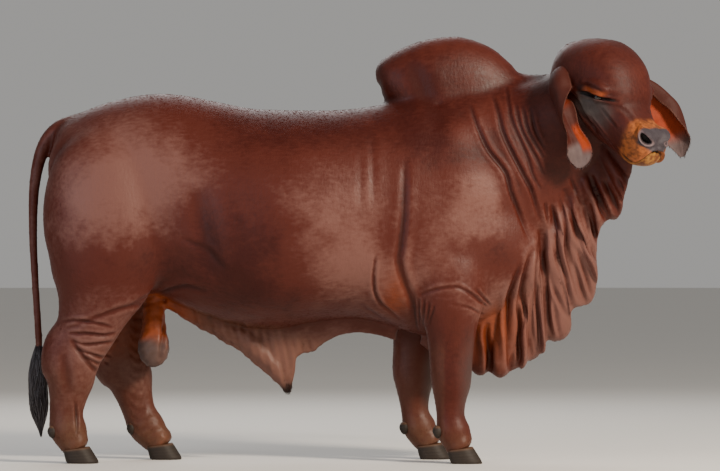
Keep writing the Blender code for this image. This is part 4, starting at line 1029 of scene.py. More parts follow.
def fine_places(skin):
    """Vertices round the eyes, on the muzzle and on the pleats."""
    local = to_frame(head_matrix().inverted(), points_of(skin))
    eye = np.array(EYE_PLACE)
    mirrored = local * [1, -1, 1]
    close = np.minimum(*[np.linalg.norm(rows - eye, axis=1) for rows in (local, mirrored)]) < 0.085
    hx, hy, hz = local.T
    muzzle = (hx > 0.43) & (hx < 0.62) & (abs(hy) < 0.14) & (abs(hz + 0.15) < 0.14)
    x, y, z = points_of(skin).T
    pleats = (x > 0.44) & (x < 1.16) & (z - 1.15 * x < 0.32) & (z < 1.25) & (abs(y) < 0.36) & (z > 0.30)
    return np.nonzero(close | muzzle | pleats)[0]


def put_zone(thing, name, values):
    """Writes one number for each vertex, which the materials read."""
    zone = thing.data.attributes.new(name, "FLOAT", "POINT")
    zone.data.foreach_set("value", np.ascontiguousarray(np.clip(values, -1, 1), np.float32))


def zone_values(thing, name):
    """The numbers that put_zone wrote."""
    values = np.empty(len(thing.data.vertices))
    thing.data.attributes[name].data.foreach_get("value", values)
    return values


def wobble(points, scale, seed):
    """A smooth irregular field between about -1 and 1."""
    rng = np.random.default_rng(seed)
    out = np.zeros(len(points))
    for k in range(6):
        way = rng.normal(size=3)
        way /= np.linalg.norm(way)
        size = scale * (1.0 + 0.45 * k)
        crossed = np.cos(points @ np.roll(way, 1) * size * 0.8)
        out += np.sin(points @ way * size + rng.uniform(0, 6.28)) * crossed
    return out / 3


def mark_zones(skin, crease_shade):
    """Zones of the hide: painted sheen and painted shade, warm, grey, tan and bare skin, black openings
    with painted shade in them, and dust.
    """
    points, normals = points_of(skin), normals_of(skin)
    local = to_frame(head_matrix().inverted(), points)
    turned = to_frame(head_matrix().inverted(), normals, True)
    x, y, z = points.T
    hx, hy, hz = local.T
    on_head = smooth_ramp(hx, -0.02, 0.06) * smooth_ramp(z, 1.15, 1.25)
    rough = wobble(points, 11, 1)
    fine = wobble(points, 45, 2)

    # Painted sheen and painted shade over the coat's own uneven tone: paler where the sleek hair catches
    # the light, darker where the body turns from it or lies in shade; over the head darker, a little paler
    # towards the forehead.
    shade = np.zeros(len(points))
    for px, pz, along, tall, much in SHEEN_AND_SHADE_PATCHES:
        shade += much * mound(x + 0.03 * rough, z + 0.03 * fine, (px, pz), (along, tall))
    shade *= 1 - on_head
    shade += 0.10 * rough + 0.06 * fine + on_head * (0.06 * smooth_ramp(hz, -0.06, 0.06) - 0.52)
    put_zone(skin, "shade", shade)
    # The groove zone holds painted shade in creases and hollows and painted highlights on ridges.
    put_zone(skin, "groove", crease_shade)
    put_zone(skin, "head", on_head)

    # Thin warm skin: top of the purse, inner hind legs, lap of the dewlap, pit of the foreleg, brow.
    purse = 1 - smooth_ramp(np.hypot(x - PURSE_X, y) / 0.085, 0.94, 1.04)
    sac = purse * smooth_ramp(z + 0.012 * fine, 0.47, 0.53) * (1 - smooth_ramp(z, 0.68, 0.76))
    stalk = band(x, -0.84, -0.80, -0.72, -0.60) * (1 - smooth_ramp(z + 0.42 * (x + 0.8), 0.65, 0.72))
    stalk *= 1 - smooth_ramp(abs(y), 0.08, 0.13)
    inner = smooth_ramp(-np.sign(y) * normals[:, 1], 0.2, 0.8) * band(z, 0.38, 0.48, 0.60, 0.68)
    inner *= (1 - smooth_ramp(x, -0.66, -0.60)) * smooth_ramp(abs(y), 0.04, 0.08)
    lap = mound(x, z, (0.565, 0.575), (0.095, 0.155)) * (1 - smooth_ramp(abs(y), 0.10, 0.20))
    pit = 0.7 * mound(x, z, (0.15, 0.66), (0.045, 0.10)) * smooth_ramp(abs(y), 0.15, 0.25)
    gap, share, way = along_line(local[:, [0, 2]], smooth_rows(EYE_SLIT, 6))
    beside = smooth_ramp(abs(hy), 0.07, 0.10) * on_head
    brow = beside * band(hx, 0.180, 0.205, 0.285, 0.305) * (way > 0) * band(gap, 0.006, 0.010, 0.022, 0.036)
    warm = [sac, 0.6 * stalk, 0.5 * inner, 0.75 * lap, 0.8 * pit, 0.9 * brow]
    put_zone(skin, "warm", np.maximum.reduce(warm))

    # Grey under the eye and low on the purse, and a painted grey sheen down the front of the forelegs where
    # they face forward.
    cheek = beside * np.exp(-(((hx - 0.262) / 0.082) ** 4) - ((hz + 0.122) / 0.050) ** 4) * (way < 0)
    bag = purse * (1 - smooth_ramp(z + 0.012 * fine, 0.47, 0.53))
    shin_sheen = smooth_ramp(normals[:, 0], 0.1, 0.8) * smooth_ramp(x, 0.2, 0.3) * (x < 0.47)
    shin_sheen *= band(z, 0.1, 0.3, 0.36, 0.64)
    put_zone(skin, "grey", np.maximum.reduce([cheek * (0.95 + 0.25 * fine), 0.75 * bag, 0.45 * shin_sheen]))

    # The muzzle: its tan ring, its bare pad and its chin.
    tan = smooth_ramp(hx + 0.010 * fine + 0.10 * np.minimum(0, hz + 0.10), 0.418, 0.450) * on_head
    put_zone(skin, "tan", tan)
    lift = mouth_gap(local)
    pad = smooth_ramp(hx + 0.35 * (hz + 0.10) + 0.002 * fine, 0.496, 0.506) * on_head
    pad *= smooth_ramp(hz - 0.010 * smooth_ramp(abs(hy), 0.02, 0.08) + 0.002 * fine, -0.138, -0.130)
    put_zone(skin, "bare", pad)
    put_zone(skin, "chin", on_head * smooth_ramp(hx, 0.44, 0.50) * smooth_ramp(-lift, 0.0, 0.006))

    # Dark openings, painted black for the shade within them and for the black lid margins: nostrils, lids,
    # the line of the mouth and the tip of the sheath.
    rings = np.minimum(*[nostril_ring(local, side)[0] for side in (RIGHT, LEFT)])
    put_zone(skin, "rim", on_head * (hx > 0.4) * bell(rings, 1.18, 0.15))
    hole = (hx > 0.4) * on_head * (1 - smooth_ramp(rings, 0.80, 1.05))
    thick = 0.0042 + 0.0062 * bell(share, 0.30, 0.22)
    slit = beside * (1 - smooth_ramp(gap / thick, 0.8, 1.25))
    slit *= smooth_ramp(np.sin(math.pi * share), 0.02, 0.25)
    corner = 0.8 * beside * mound(hx, hz, (0.185, -0.085), (0.022, 0.020))
    mouth = smooth_ramp(hx, 0.43, 0.49) * (1 - smooth_ramp(abs(lift), 0.0030, 0.0060)) * on_head
    tip = mound(x, z, SHEATH_TIP, (0.03, 0.035)) * (abs(y) < 0.1)
    put_zone(skin, "black_and_hole_shade", np.maximum.reduce([hole, slit, corner, mouth, tip]))

    # Dust on the belly's hanging fold and on the lower legs.
    hanging = band(x, -0.74, -0.64, 0.05, 0.20) * (1 - smooth_ramp(z + 0.28 * x, 0.42, 0.50))
    hanging *= abs(y) < 0.12
    ankles = 0.7 * (1 - smooth_ramp(z + 0.05 * rough, 0.06, 0.20))
    shanks = 0.35 * (1 - smooth_ramp(z + 0.10 * rough, 0.30, 0.60)) * (abs(x - 0.6) > 0.25)
    put_zone(skin, "dust", np.clip(np.maximum(ankles + shanks, 0.55 * hanging), 0, 1))


def thin_out(thing, triangles):
    """Collapses the mesh to about this many triangles."""
    total = sum(len(p.vertices) - 2 for p in thing.data.polygons)
    if total <= triangles:
        return
    thin = thing.modifiers.new("Thin", "DECIMATE")
    thin.ratio = triangles / total
    thin.use_collapse_triangulate = True
    apply_modifiers(thing)


def dress(piece, material, slot, *nodes):
    """Gives a finished piece its material and its body, and hides the solids that it stands for; the slot
    is not used.
    """
    piece.data.materials.clear()
    piece.data.materials.append(material)
    piece.data.shade_smooth()
    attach(piece, "root")
    if nodes:
        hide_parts(*nodes)
    return piece


def cavity_shade(skin):
    """How far each point lies below its surroundings, as painted shade in the valleys and painted
    highlights on the ridges.
    """
    points, normals = points_of(skin), normals_of(skin)
    soft = skin.copy()
    soft.data = skin.data.copy()
    bpy.context.scene.collection.objects.link(soft)
    smooth_by(soft, np.ones(len(points)), 24)
    sunk = ((points_of(soft) - points) * normals).sum(1)
    bpy.data.objects.remove(soft)
    relief = sunk / 0.0045
    return np.clip(relief, 0, 1) - 0.55 * np.clip(-relief, 0, 1)


def make_skin(voxel, triangles, coat_depth):
    """The whole hide in one piece."""
    bodies = [loft("trunk", TRUNK, around=60, power=2.3, crown=0.10)]
    bodies += [loft("neck", NECK, power=2.1, crown=0.15), loft("hump", HUMP, power=2.1)]
    bodies += muscle_bodies() + head_bodies() + scrotum_bodies()
    bodies += legs(RIGHT) + legs(LEFT)
    bodies.append(loft("tail", [(x, y, z, r, r, r) for x, y, z, r in TAIL], around=18, power=2.0))
    lines = (DEWLAP_ROOT, DEWLAP_EDGE, neck_middle)
    bodies.append(hanging_fold("dewlap", *lines, (0.38, 0.17), 0.028, DEWLAP_VALLEYS, 0.020, 0.027))
    lines = (SHEATH_ROOT, SHEATH_EDGE, belly_middle)
    bodies.append(hanging_fold("sheath", *lines, (0.10, 0.10), 0.020))
    tube = [(x, 0, z, r, r, r * 1.05) for x, z, r in SHEATH_TUBE]
    bodies.append(loft("prepuce", tube, around=24, power=2.0))
    skin = fused("hide", bodies, voxel)
    # The rounds of smoothing suit a grain of 9.5 mm, and a finer one needs more.
    bigger = (0.0095 / voxel) ** 2
    points = points_of(skin)
    local = to_frame(head_matrix().inverted(), points)
    # All of it a little, then the flesh but for face, pleats and feet, then the trunk, then the joins.
    smooth_by(skin, np.ones(len(points)), 4)
    smooth_by(skin, mild_share(points, local), round(5 * bigger))
    smooth_by(skin, broad_share(points), round(70 * bigger))
    smooth_by(skin, join_share(points, local), 45)
    refine(skin, fine_places(skin))
    # Painted shade and highlights of the creases and hollows, which the hide's colour reads.
    crease_shade = fold_body(skin)
    fold_sheath(skin)
    crease_shade += fold_head(skin)
    crease_shade += cavity_shade(skin)
    put_points(skin, points_of(skin) - normals_of(skin) * coat_depth)
    mark_zones(skin, crease_shade)
    thin_out(skin, triangles)
    skin.data.transform(place_matrix())
    return skin


def ear_leaf(name, rows, turns, roll, steps=6, across=33):
    """A long cupped ear: a leaf folded along its length, one edge rolled over, ribs inside."""
    rows = smooth_rows(rows, steps)
    tangents = np.gradient(rows[:, :3], axis=0)
    turns = np.array(turns)
    last = len(rows) - 1
    places = np.linspace(-1, 1, across)
    outer, inner = [], []
    for i, (row, tangent) in enumerate(zip(rows, tangents)):
        share = i / last
        along = tangent / np.linalg.norm(tangent)
        opening = np.array([np.interp(share, turns[:, 0], turns[:, k]) for k in (1, 2, 3)])
        opening -= along * (opening @ along)
        opening /= np.linalg.norm(opening)
        side = np.cross(along, opening)
        fold = math.sin(math.pi * float(ramp(share, 0.02, 0.90))) ** 0.7
        wider = min(1.0, roll[1] / 120) * fold
        width = max(row[3] * (1 + 0.38 * wider) * (1 + 0.012 * math.sin(i * 0.9)), 0.006)
        middle = row[:3] + side * (roll[0] * 0.19 * row[3] * wider)
        angle = math.radians(row[4]) * places / 2
        angle = angle + roll[0] * math.radians(roll[1]) * fold * smooth_ramp(roll[0] * places, 0.30, 0.62)
        way = np.outer(np.cos(angle), side) + np.outer(np.sin(angle), opening)
        steps_across = (way[1:] + way[:-1]) / 2 * width / 2 * (places[1] - places[0])
        line = np.vstack([np.zeros(3), np.cumsum(steps_across, axis=0)])
        line += middle - line[across // 2]
        out = np.outer(-np.cos(angle), opening) + np.outer(np.sin(angle), side)
        end = min(1, 4 * (1 - share))
        rib = 0.0013 * np.sin(places * 11 + 0.10 * i) * (1 - abs(places)) * end
        edge = np.maximum(0.35, np.cos(places * 1.25)) * row[5] / 2 * min(1, 0.25 + 5 * (1 - share))
        outer.append(line + out * edge[:, None])
        inner.append(line - out * (edge - rib)[:, None])
    rings = len(rows)
    count = rings * across
    made = new_object(name, np.vstack(outer + inner), shell_faces(rings, across, flipped=True))
    shares = np.tile(np.repeat(np.arange(rings) / last, across), 2)
    places = np.tile(places, 2 * rings)
    put_zone(made, "inside", np.r_[np.zeros(count), np.ones(count)])
    put_zone(made, "rim", abs(places))
    if roll[0] > 0:
        strip = (1 - smooth_ramp(places, -0.40, -0.15)) * band(shares, 0.56, 0.62, 0.78, 0.86)
        lobe = smooth_ramp(shares, 0.70, 0.78) * (1 - strip)
        deep = smooth_ramp(shares, 0.38, 0.50) * (1 - strip)
    else:
        lobe = smooth_ramp(shares, 0.76, 0.90)
        deep = np.full(len(shares), 0.10)
    put_zone(made, "lobe", lobe)
    put_zone(made, "deep", deep)
    soften = made.modifiers.new("Soften", "SUBSURF")
    soften.levels = 1
    soften.render_levels = 1
    apply_modifiers(made)
    made.data.transform(place_matrix())
    return made


def eyeball(name, side):
    """A glossy ball with a bulging cornea towards the lids."""
    bpy.ops.mesh.primitive_uv_sphere_add(segments=48, ring_count=32, radius=EYE_RADIUS)
    made = bpy.context.object
    made.name = name
    points = points_of(made)
    way = np.array((0.30, side * 0.95, 0.05))
    way /= np.linalg.norm(way)
    facing = points @ way / EYE_RADIUS
    points *= (1 + 0.035 * smooth_ramp(facing, 0.80, 0.97))[:, None]
    put_points(made, points)
    put_zone(made, "facing", facing)
    socket = Matrix.Translation((EYE_PLACE[0], side * EYE_PLACE[1], EYE_PLACE[2]))
    made.data.transform(head_place() @ socket)
    return made


def claw(name, x, y, side):
    """One claw of a hoof, with growth rings, a worn toe and a soft heel."""
    around, levels = 40, 14
    bpy.ops.mesh.primitive_cylinder_add(vertices=around, radius=1, depth=1, end_fill_type="NGON")
    made = bpy.context.object
    made.name = name
    bpy.ops.object.mode_set(mode="EDIT")
    bpy.ops.mesh.select_mode(type="EDGE")
    bpy.ops.mesh.select_all(action="DESELECT")
    work = bmesh.from_edit_mesh(made.data)
    for edge in work.edges:
        edge.select = abs(edge.verts[0].co.z - edge.verts[1].co.z) > 0.5
    bmesh.update_edit_mesh(made.data)
    bpy.ops.mesh.subdivide(number_cuts=levels)
    bpy.ops.object.mode_set(mode="OBJECT")
    points = points_of(made)
    level = np.clip(points[:, 2] + 0.5, 0, 1)
    angle = np.arctan2(points[:, 1], points[:, 0])
    c, s = np.cos(angle), np.sin(angle)
    size = np.interp(level, (0.0, 0.08, 0.20, 0.60, 0.92, 1.0), (0.95, 1.0, 1.0, 0.93, 0.875, 0.84))
    size = size + 0.0035 * np.sin(level * 26 + 0.8 * c) * (level > 0.1) * (level < 0.9)
    front = np.sign(c) * abs(c) ** 0.85 * CLAW_LENGTH / 2 * size
    narrow = 1 - 0.28 * np.maximum(0, c) ** 2
    wide = np.sign(s) * abs(s) ** 0.8 * CLAW_WIDTH / 2 * size * narrow
    inward = 0.14 * CLAW_WIDTH * np.maximum(0, c) ** 2
    height = level * (CORONET_HEIGHT + CORONET_SLOPE * front) / (1 + level * CORONET_SLOPE * CLAW_LEAN)
    height = np.where(level < 1e-4, 0, height)
    put_points(made, np.c_[x + front - CLAW_LEAN * height, y + wide - side * inward, height])
    put_zone(made, "level", level)
    made.data.transform(place_matrix())
    return made


def dewclaw(name, fetlock, y):
    """A blunt horny spur behind the fetlock."""
    bpy.ops.mesh.primitive_uv_sphere_add(segments=24, ring_count=16, radius=1)
    made = bpy.context.object
    made.name = name
    points = points_of(made)
    down = np.clip(-points[:, 2], 0, 1)
    points[:, 0] *= 1 - 0.25 * down
    points *= (1 + 0.008 * np.sin(points[:, 2] * 16))[:, None]
    points = points * DEWCLAW_REACH + [fetlock - DEWCLAW_BACK, y, DEWCLAW_HEIGHT]
    put_points(made, points)
    put_zone(made, "level", np.clip((points[:, 2] - DEWCLAW_HEIGHT) / 0.04 + 0.5, 0, 1))
    made.data.transform(place_matrix())
    return made


def feet():
    """Name, middle of the hoof, and middle of the fetlock of each foot."""
    out = []
    for side, word in ((RIGHT, "right"), (LEFT, "left")):
        hind, fore = steps_of(side)
        for limb, rows, step in (("hind", HIND_LEG, hind), ("fore", FORE_LEG, fore)):
            moved = step_rows(rows, side, step)
            heights = [-row[2] for row in moved]
            fetlock = float(np.interp(-DEWCLAW_HEIGHT, heights, [row[0] for row in moved]))
            out.append((f"{limb}_{word}", moved[-1][0] + 0.018, moved[-1][1], fetlock))
    return out


# The zones that the materials of the hide and its tufts read.
MARKS = ("shade", "groove", "warm", "grey", "tan", "chin", "bare", "rim", "black_and_hole_shade", "dust", "head")


def unwrapped(skin):
    """A coarse unwrapped copy of the skin: a search tree, its corners and their places on the map."""
    copy = skin.copy()
    copy.data = skin.data.copy()
    bpy.context.scene.collection.objects.link(copy)
    thin_out(copy, 9000)
    bpy.ops.object.mode_set(mode="EDIT")
    bpy.ops.mesh.select_all(action="SELECT")
    bpy.ops.uv.smart_project(angle_limit=math.radians(70), island_margin=0.004)
    bpy.ops.object.mode_set(mode="OBJECT")
    mesh = copy.data
    spots = np.empty(len(mesh.loops) * 2)
    mesh.uv_layers.active.data.foreach_get("uv", spots)
    corners = [[mesh.vertices[i].co.copy() for i in face.vertices] for face in mesh.polygons]
    places = [[Vector((*spots[2 * i : 2 * i + 2], 0)) for i in face.loop_indices] for face in mesh.polygons]
    tree = BVHTree.FromObject(copy, bpy.context.evaluated_depsgraph_get())
    bpy.data.objects.remove(copy)
    return tree, corners, places


def map_places(roots, chart):
    """Where each root lies on the unwrapped map."""
    tree, corners, places = chart
    out = np.empty((len(roots), 2))
    for i, root in enumerate(roots):
        near, normal, face, gap = tree.find_nearest(Vector(root))
        spot = barycentric_transform(near, *corners[face][:3], *places[face][:3])
        out[i] = spot[:2]
    return np.clip(out, 0.004, 0.996)


def scatter(skin, count, density, seed):
    """Random roots on the skin, with its normals and marks there, more where density is high."""
    mesh = skin.data
    rng = np.random.default_rng(seed)
    corners = np.empty(len(mesh.polygons) * 3, int)
    mesh.polygons.foreach_get("vertices", corners)
    corners = corners.reshape(-1, 3)
    points, normals = points_of(skin), normals_of(skin)
    a, b, c = (points[corners[:, k]] for k in range(3))
    area = np.linalg.norm(np.cross(b - a, c - a), axis=1)
    area *= density[corners].mean(1)
    chosen = rng.choice(len(corners), count, p=area / area.sum())
    u, v = rng.random(count), rng.random(count)
    outside = u + v > 1
    u, v = np.where(outside, 1 - u, u), np.where(outside, 1 - v, v)
    shares = np.c_[1 - u - v, u, v][:, :, None]
    roots = (points[corners[chosen]] * shares).sum(1)
    outs = (normals[corners[chosen]] * shares).sum(1)
    outs /= np.linalg.norm(outs, axis=1)[:, None]
    marks = {word: (zone_values(skin, word)[corners[chosen]] * shares[:, :, 0]).sum(1) for word in MARKS}
    return roots, outs, marks


def lie_of_hair(points):
    """Which way the hair lies: back along the trunk, down the legs and tail, back from the nose."""
    head = head_place()
    local = to_frame(head.inverted(), points)
    x, y, z = points.T
    back = np.tile((-1.0, 0.0, -0.45), (len(points), 1))
    down = np.tile((-0.10, 0.0, -1.0), (len(points), 1))
    from_nose = np.tile(np.array(head.to_3x3() @ Vector((-1.0, 0, 0.35))), (len(points), 1))
    low = smooth_ramp(0.78 - z, 0.0, 0.2)[:, None] * (abs(x + 0.12) > 0.35)[:, None]
    low = np.maximum(low, (x < -1.2)[:, None])
    neck = (smooth_ramp(x, 0.30, 0.55) * 0.8)[:, None]
    on_head = (smooth_ramp(local[:, 0], -0.02, 0.06) * smooth_ramp(z, 1.15, 1.25))[:, None]
    lie = back + (down - back) * np.maximum(low, neck)
    return lie + (from_nose - lie) * on_head


def tufts(name, roots, outs, lies, lengths, widths, patches, marks, lift, seed, rings=3):
    """Thin, tapered, bent tufts as one mesh, each on its own small patch of the map."""
    rng = np.random.default_rng(seed)
    lies = lies - outs * (lies * outs).sum(1)[:, None]
    lies /= np.maximum(np.linalg.norm(lies, axis=1), 1e-6)[:, None]
    side = np.cross(lies, outs)
    swing = rng.normal(0, 0.16, (len(roots), 1))
    lies = lies + side * swing
    spines = []
    for k in range(rings + 1):
        t = k / rings
        rise = lift * math.sin(math.pi * (0.10 + 0.60 * t)) - 0.12 * (k == 0)
        bend = side * (swing * t * t)
        spines.append(roots + (lies * t + outs * rise + bend) * lengths[:, None])
    made = locks(name, np.stack(spines, 1), widths, patches, rng)
    for word, values in marks.items():
        put_zone(made, word, np.repeat(values, 3 * rings + 1))
    made.data.polygons.foreach_set("use_smooth", np.ones(len(made.data.polygons), bool))
    made.data.normals_split_custom_set_from_vertices(np.repeat(outs, 3 * rings + 1, axis=0).tolist())
    return made


def body_coat(skin, chart, count):
    """Short tufts where the coat breaks the outline: crests, belly, edges of folds, legs, tail."""
    points, normals = points_of(skin), normals_of(skin)
    from_head = head_place().inverted()
    local = to_frame(from_head, points)
    x, y, z = points.T
    top = smooth_ramp(normals[:, 2], 0.55, 0.95) * (z > 1.15)
    below = smooth_ramp(-normals[:, 2], 0.35, 0.90) * (z > 0.15)
    backs = smooth_ramp(-normals[:, 0], 0.5, 0.9) * (z < 0.62)
    fronts = smooth_ramp(normals[:, 0], 0.6, 0.95) * smooth_ramp(x, 0.5, 0.6)
    density = 0.06 + 1.3 * top + 1.0 * below + 0.9 * backs + 0.6 * fronts
    density = density + 1.2 * (z < 0.14) + 0.8 * (x < -1.2)
    density *= 1 - 0.6 * smooth_ramp(local[:, 0], 0.10, 0.20) * (z > 1.2)
    for word in ("bare", "black_and_hole_shade", "chin", "rim", "groove"):
        density *= 1 - np.clip(2 * zone_values(skin, word), 0, 1)
    roots, outs, marks = scatter(skin, count, density, 11)
    rng = np.random.default_rng(12)
    near = to_frame(from_head, roots)
    small = 1 - 0.45 * smooth_ramp(near[:, 0], 0.10, 0.20) * (roots[:, 2] > 1.2)
    small *= 1 - 0.35 * (roots[:, 2] < 0.10)
    lengths = rng.uniform(0.009, 0.016, count) * small
    widths = rng.uniform(0.0008, 0.0015, count) * small
    patches = map_places(roots, chart)
    lies = lie_of_hair(roots)
    return tufts("coat_short_hair", roots, outs, lies, lengths, widths, patches, marks, 0.05, 13, rings=2)


def lash_hair(skin, chart):
    """Lashes along both upper lids."""
    rng = np.random.default_rng(21)
    head = head_place()
    tree = BVHTree.FromObject(skin, bpy.context.evaluated_depsgraph_get())
    roots, outs, lies = [], [], []
    line = smooth_rows(EYE_SLIT, 12)
    for side in (RIGHT, LEFT):
        for share in np.linspace(0.30, 0.88, 46):
            at = at_share(line, share)
            start = head @ Vector((at[0], side * 0.30, at[1] + 0.006))
            hit = tree.ray_cast(start, head.to_3x3() @ Vector((0, -side, 0)))
            if hit[0] is None:
                continue
            roots.append(hit[0])
            outs.append(hit[1])
            lies.append(head.to_3x3() @ Vector((rng.uniform(-0.3, 0.5), side * 0.9, -0.75)))
    roots, outs, lies = (np.array([tuple(v) for v in rows]) for rows in (roots, outs, lies))
    count = len(roots)
    marks = {word: np.full(count, 1.0 if word == "black_and_hole_shade" else 0.0) for word in MARKS}
    lengths = rng.uniform(0.010, 0.017, count)
    widths = rng.uniform(0.0010, 0.0014, count)
    patches = map_places(roots, chart)
    return tufts("eye_lashes", roots, outs, lies, lengths, widths, patches, marks, 0.45, 22)


def tip_hair(skin, chart):
    """The dark brush of hair at the tip of the sheath."""
    points = points_of(skin)
    count = 110
    at = np.array(place_matrix() @ Vector((SHEATH_TIP[0], 0.0, SHEATH_TIP[1])))
    density = np.exp(-((np.linalg.norm(points - at, axis=1) / 0.026) ** 2)) + 1e-9
    roots, outs, marks = scatter(skin, count, density, 31)
    rng = np.random.default_rng(32)
    marks["black_and_hole_shade"] = np.full(count, 0.95)
    lies = np.tile((0.1, 0.0, -1.0), (count, 1)) + rng.normal(0, 0.10, (count, 3))
    lengths = rng.uniform(0.012, 0.024, count)
    widths = rng.uniform(0.0012, 0.0020, count)
    patches = map_places(roots, chart)
    return tufts("sheath_brush", roots, outs, lies, lengths, widths, patches, marks, 0.10, 33)


def ear_hair(ear, seed):
    """Fine hair along the rim and in the mouth of an ear."""
    rng = np.random.default_rng(seed)
    points, normals = points_of(ear), normals_of(ear)
    values = {word: zone_values(ear, word) for word in ("rim", "inside", "lobe", "deep")}
    weight = (values["rim"] > 0.90) * 1.0 + 0.04 * (values["inside"] > 0.5)
    count = 1300
    chosen = rng.choice(len(points), count, p=weight / weight.sum())
    roots = points[chosen] + rng.normal(0, 0.0015, (count, 3))
    outs = normals[chosen]
    lies = np.tile((0.15, 0.0, -1.0), (count, 1)) + 0.5 * outs + rng.normal(0, 0.12, (count, 3))
    lengths = rng.uniform(0.007, 0.013, count)
    # The map's left half is for hairs of the outside, its right half for those of the inside.
    low = points.min(0)
    shares = (roots[:, [0, 2]] - low[[0, 2]]) / (points.max(0) - low)[[0, 2]]
    patches = np.clip(shares, 0, 1) * 0.45 + 0.02
    patches[:, 0] += 0.5 * (values["inside"][chosen] > 0.5)
    values["rim"] = values["rim"] * 0.6
    marks = {word: values[word][chosen] for word in values}
    widths = rng.uniform(0.0006, 0.0011, count)
    return tufts(ear.name + "_hair", roots, outs, lies, lengths, widths, patches, marks, 0.06, seed + 1)


def switch_hair(count, seed):
    """The switch: long coarse hair in locks from the end of the tail."""
    rng = np.random.default_rng(seed)
    rows = smooth_rows(SWITCH, 8)
    place = np.array(place_matrix().to_translation())
    start = rng.uniform(0.0, 0.55, count) ** 1.2
    angle = rng.uniform(0, 2 * math.pi, count)
    depth = rng.uniform(0.25, 1.0, count) ** 0.5
    rings = 7
    spines = []
    ends = np.minimum(1.02, start + rng.uniform(0.42, 0.62, count))
    wave = rng.uniform(0, 6.28, count)
    for k in range(rings + 1):
        t = k / rings
        share = start + (ends - start) * t
        base = np.array([at_share(rows, min(s, 1.0)) for s in share])
        base[:, 2] -= np.maximum(share - 1, 0) * 0.4
        spread = base[:, 3] * depth * (0.35 + 0.72 * math.sin(math.pi * min(1, t * 0.85 + 0.12)))
        swirl = angle + 0.35 * np.sin(3.0 * t + wave)
        out = np.c_[np.cos(swirl), np.sin(swirl), np.zeros(count)]
        spines.append(base[:, :3] + out * spread[:, None] + place)
    width = rng.uniform(0.0035, 0.0075, count)
    patches = np.c_[(angle / (2 * math.pi)) * 0.9 + 0.05, start * 0.9 + 0.05]
    return locks("tail_switch_hair", np.stack(spines, 1), width, patches, rng)


def locks(name, spines, widths, patches, rng):
    """Locks that follow given spines, three-sided and tapered, as one mesh with OFBake patches."""
    count, rings = spines.shape[0], spines.shape[1] - 1
    verts, uvs = [], []
    turn = rng.uniform(0, 2 * math.pi, count)
    for k in range(rings):
        along = spines[:, min(k + 1, rings)] - spines[:, max(k - 1, 0)]
        along /= np.maximum(np.linalg.norm(along, axis=1), 1e-6)[:, None]
        a = np.cross(along, np.c_[np.cos(turn), np.sin(turn), np.zeros(count)])
        a /= np.maximum(np.linalg.norm(a, axis=1), 1e-6)[:, None]
        b = np.cross(along, a)
        swell = 0.55 + 0.45 * math.sin(math.pi * (0.15 + 0.5 * k / rings))
        size = widths * swell * (1 - 0.55 * k / rings)
        for w, h in ((-0.5, -0.15), (0.5, -0.15), (0.0, 0.35)):
            verts.append(spines[:, k] + a * (w * size)[:, None] + b * (h * size)[:, None])
            uvs.append((0.5 + 0.8 * w, k / rings))
    verts.append(spines[:, rings])
    uvs.append((0.5, 1.0))
    per = 3 * rings + 1
    block = np.stack(verts, 1).reshape(-1, 3)
    pattern = [(0, 2, 1)]
    for k in range(rings - 1):
        for a, b in ((0, 1), (1, 2), (2, 0)):
            low_a, low_b = 3 * k + a, 3 * k + b
            pattern += [(low_a, low_b, low_b + 3), (low_a, low_b + 3, low_a + 3)]
    last = 3 * (rings - 1)
    pattern += [(last, last + 1, last + 3), (last + 1, last + 2, last + 3), (last + 2, last, last + 3)]
    faces = (np.array(pattern)[None] + per * np.arange(count)[:, None, None]).reshape(-1, 3)
    made = new_mesh(name, block, faces)
    patch_size = 0.003
    spot = np.array(uvs)[None] * patch_size + patches[:, None, :] - patch_size / 2
    layer = made.data.uv_layers.new(name="OFBake")
    layer.data.foreach_set("uv", spot.reshape(-1, 2)[faces.ravel()].astype(np.float32).ravel())
    tips = np.array([k / rings for k in range(rings) for _ in range(3)] + [1.0])
    put_zone(made, "tip", np.tile(tips, count))
    return made


def new_mesh(name, block, faces):
    """An object from rows of points and rows of triangles, made quickly."""
    mesh = bpy.data.meshes.new(name)
    mesh.vertices.add(len(block))
    mesh.vertices.foreach_set("co", block.astype(np.float32).ravel())
    mesh.loops.add(faces.size)
    mesh.loops.foreach_set("vertex_index", faces.astype(np.int32).ravel())
    mesh.polygons.add(len(faces))
    mesh.polygons.foreach_set("loop_start", np.arange(0, faces.size, 3, dtype=np.int32))
    mesh.update(calc_edges=True)
    mesh.validate()
    made = bpy.data.objects.new(name, mesh)
    bpy.context.scene.collection.objects.link(made)
    return made


# Materials.


def add(tree, kind, values=(), **properties):
    """Adds a node with its properties, and sets or links each of its named sockets."""
    made = tree.nodes.new(kind)
    for word, value in properties.items():
        setattr(made, word, value)
    for socket, value in dict(values).items():
        if isinstance(value, bpy.types.NodeSocket):
            tree.links.new(value, made.inputs[socket])
        else:
            made.inputs[socket].default_value = value
    return made


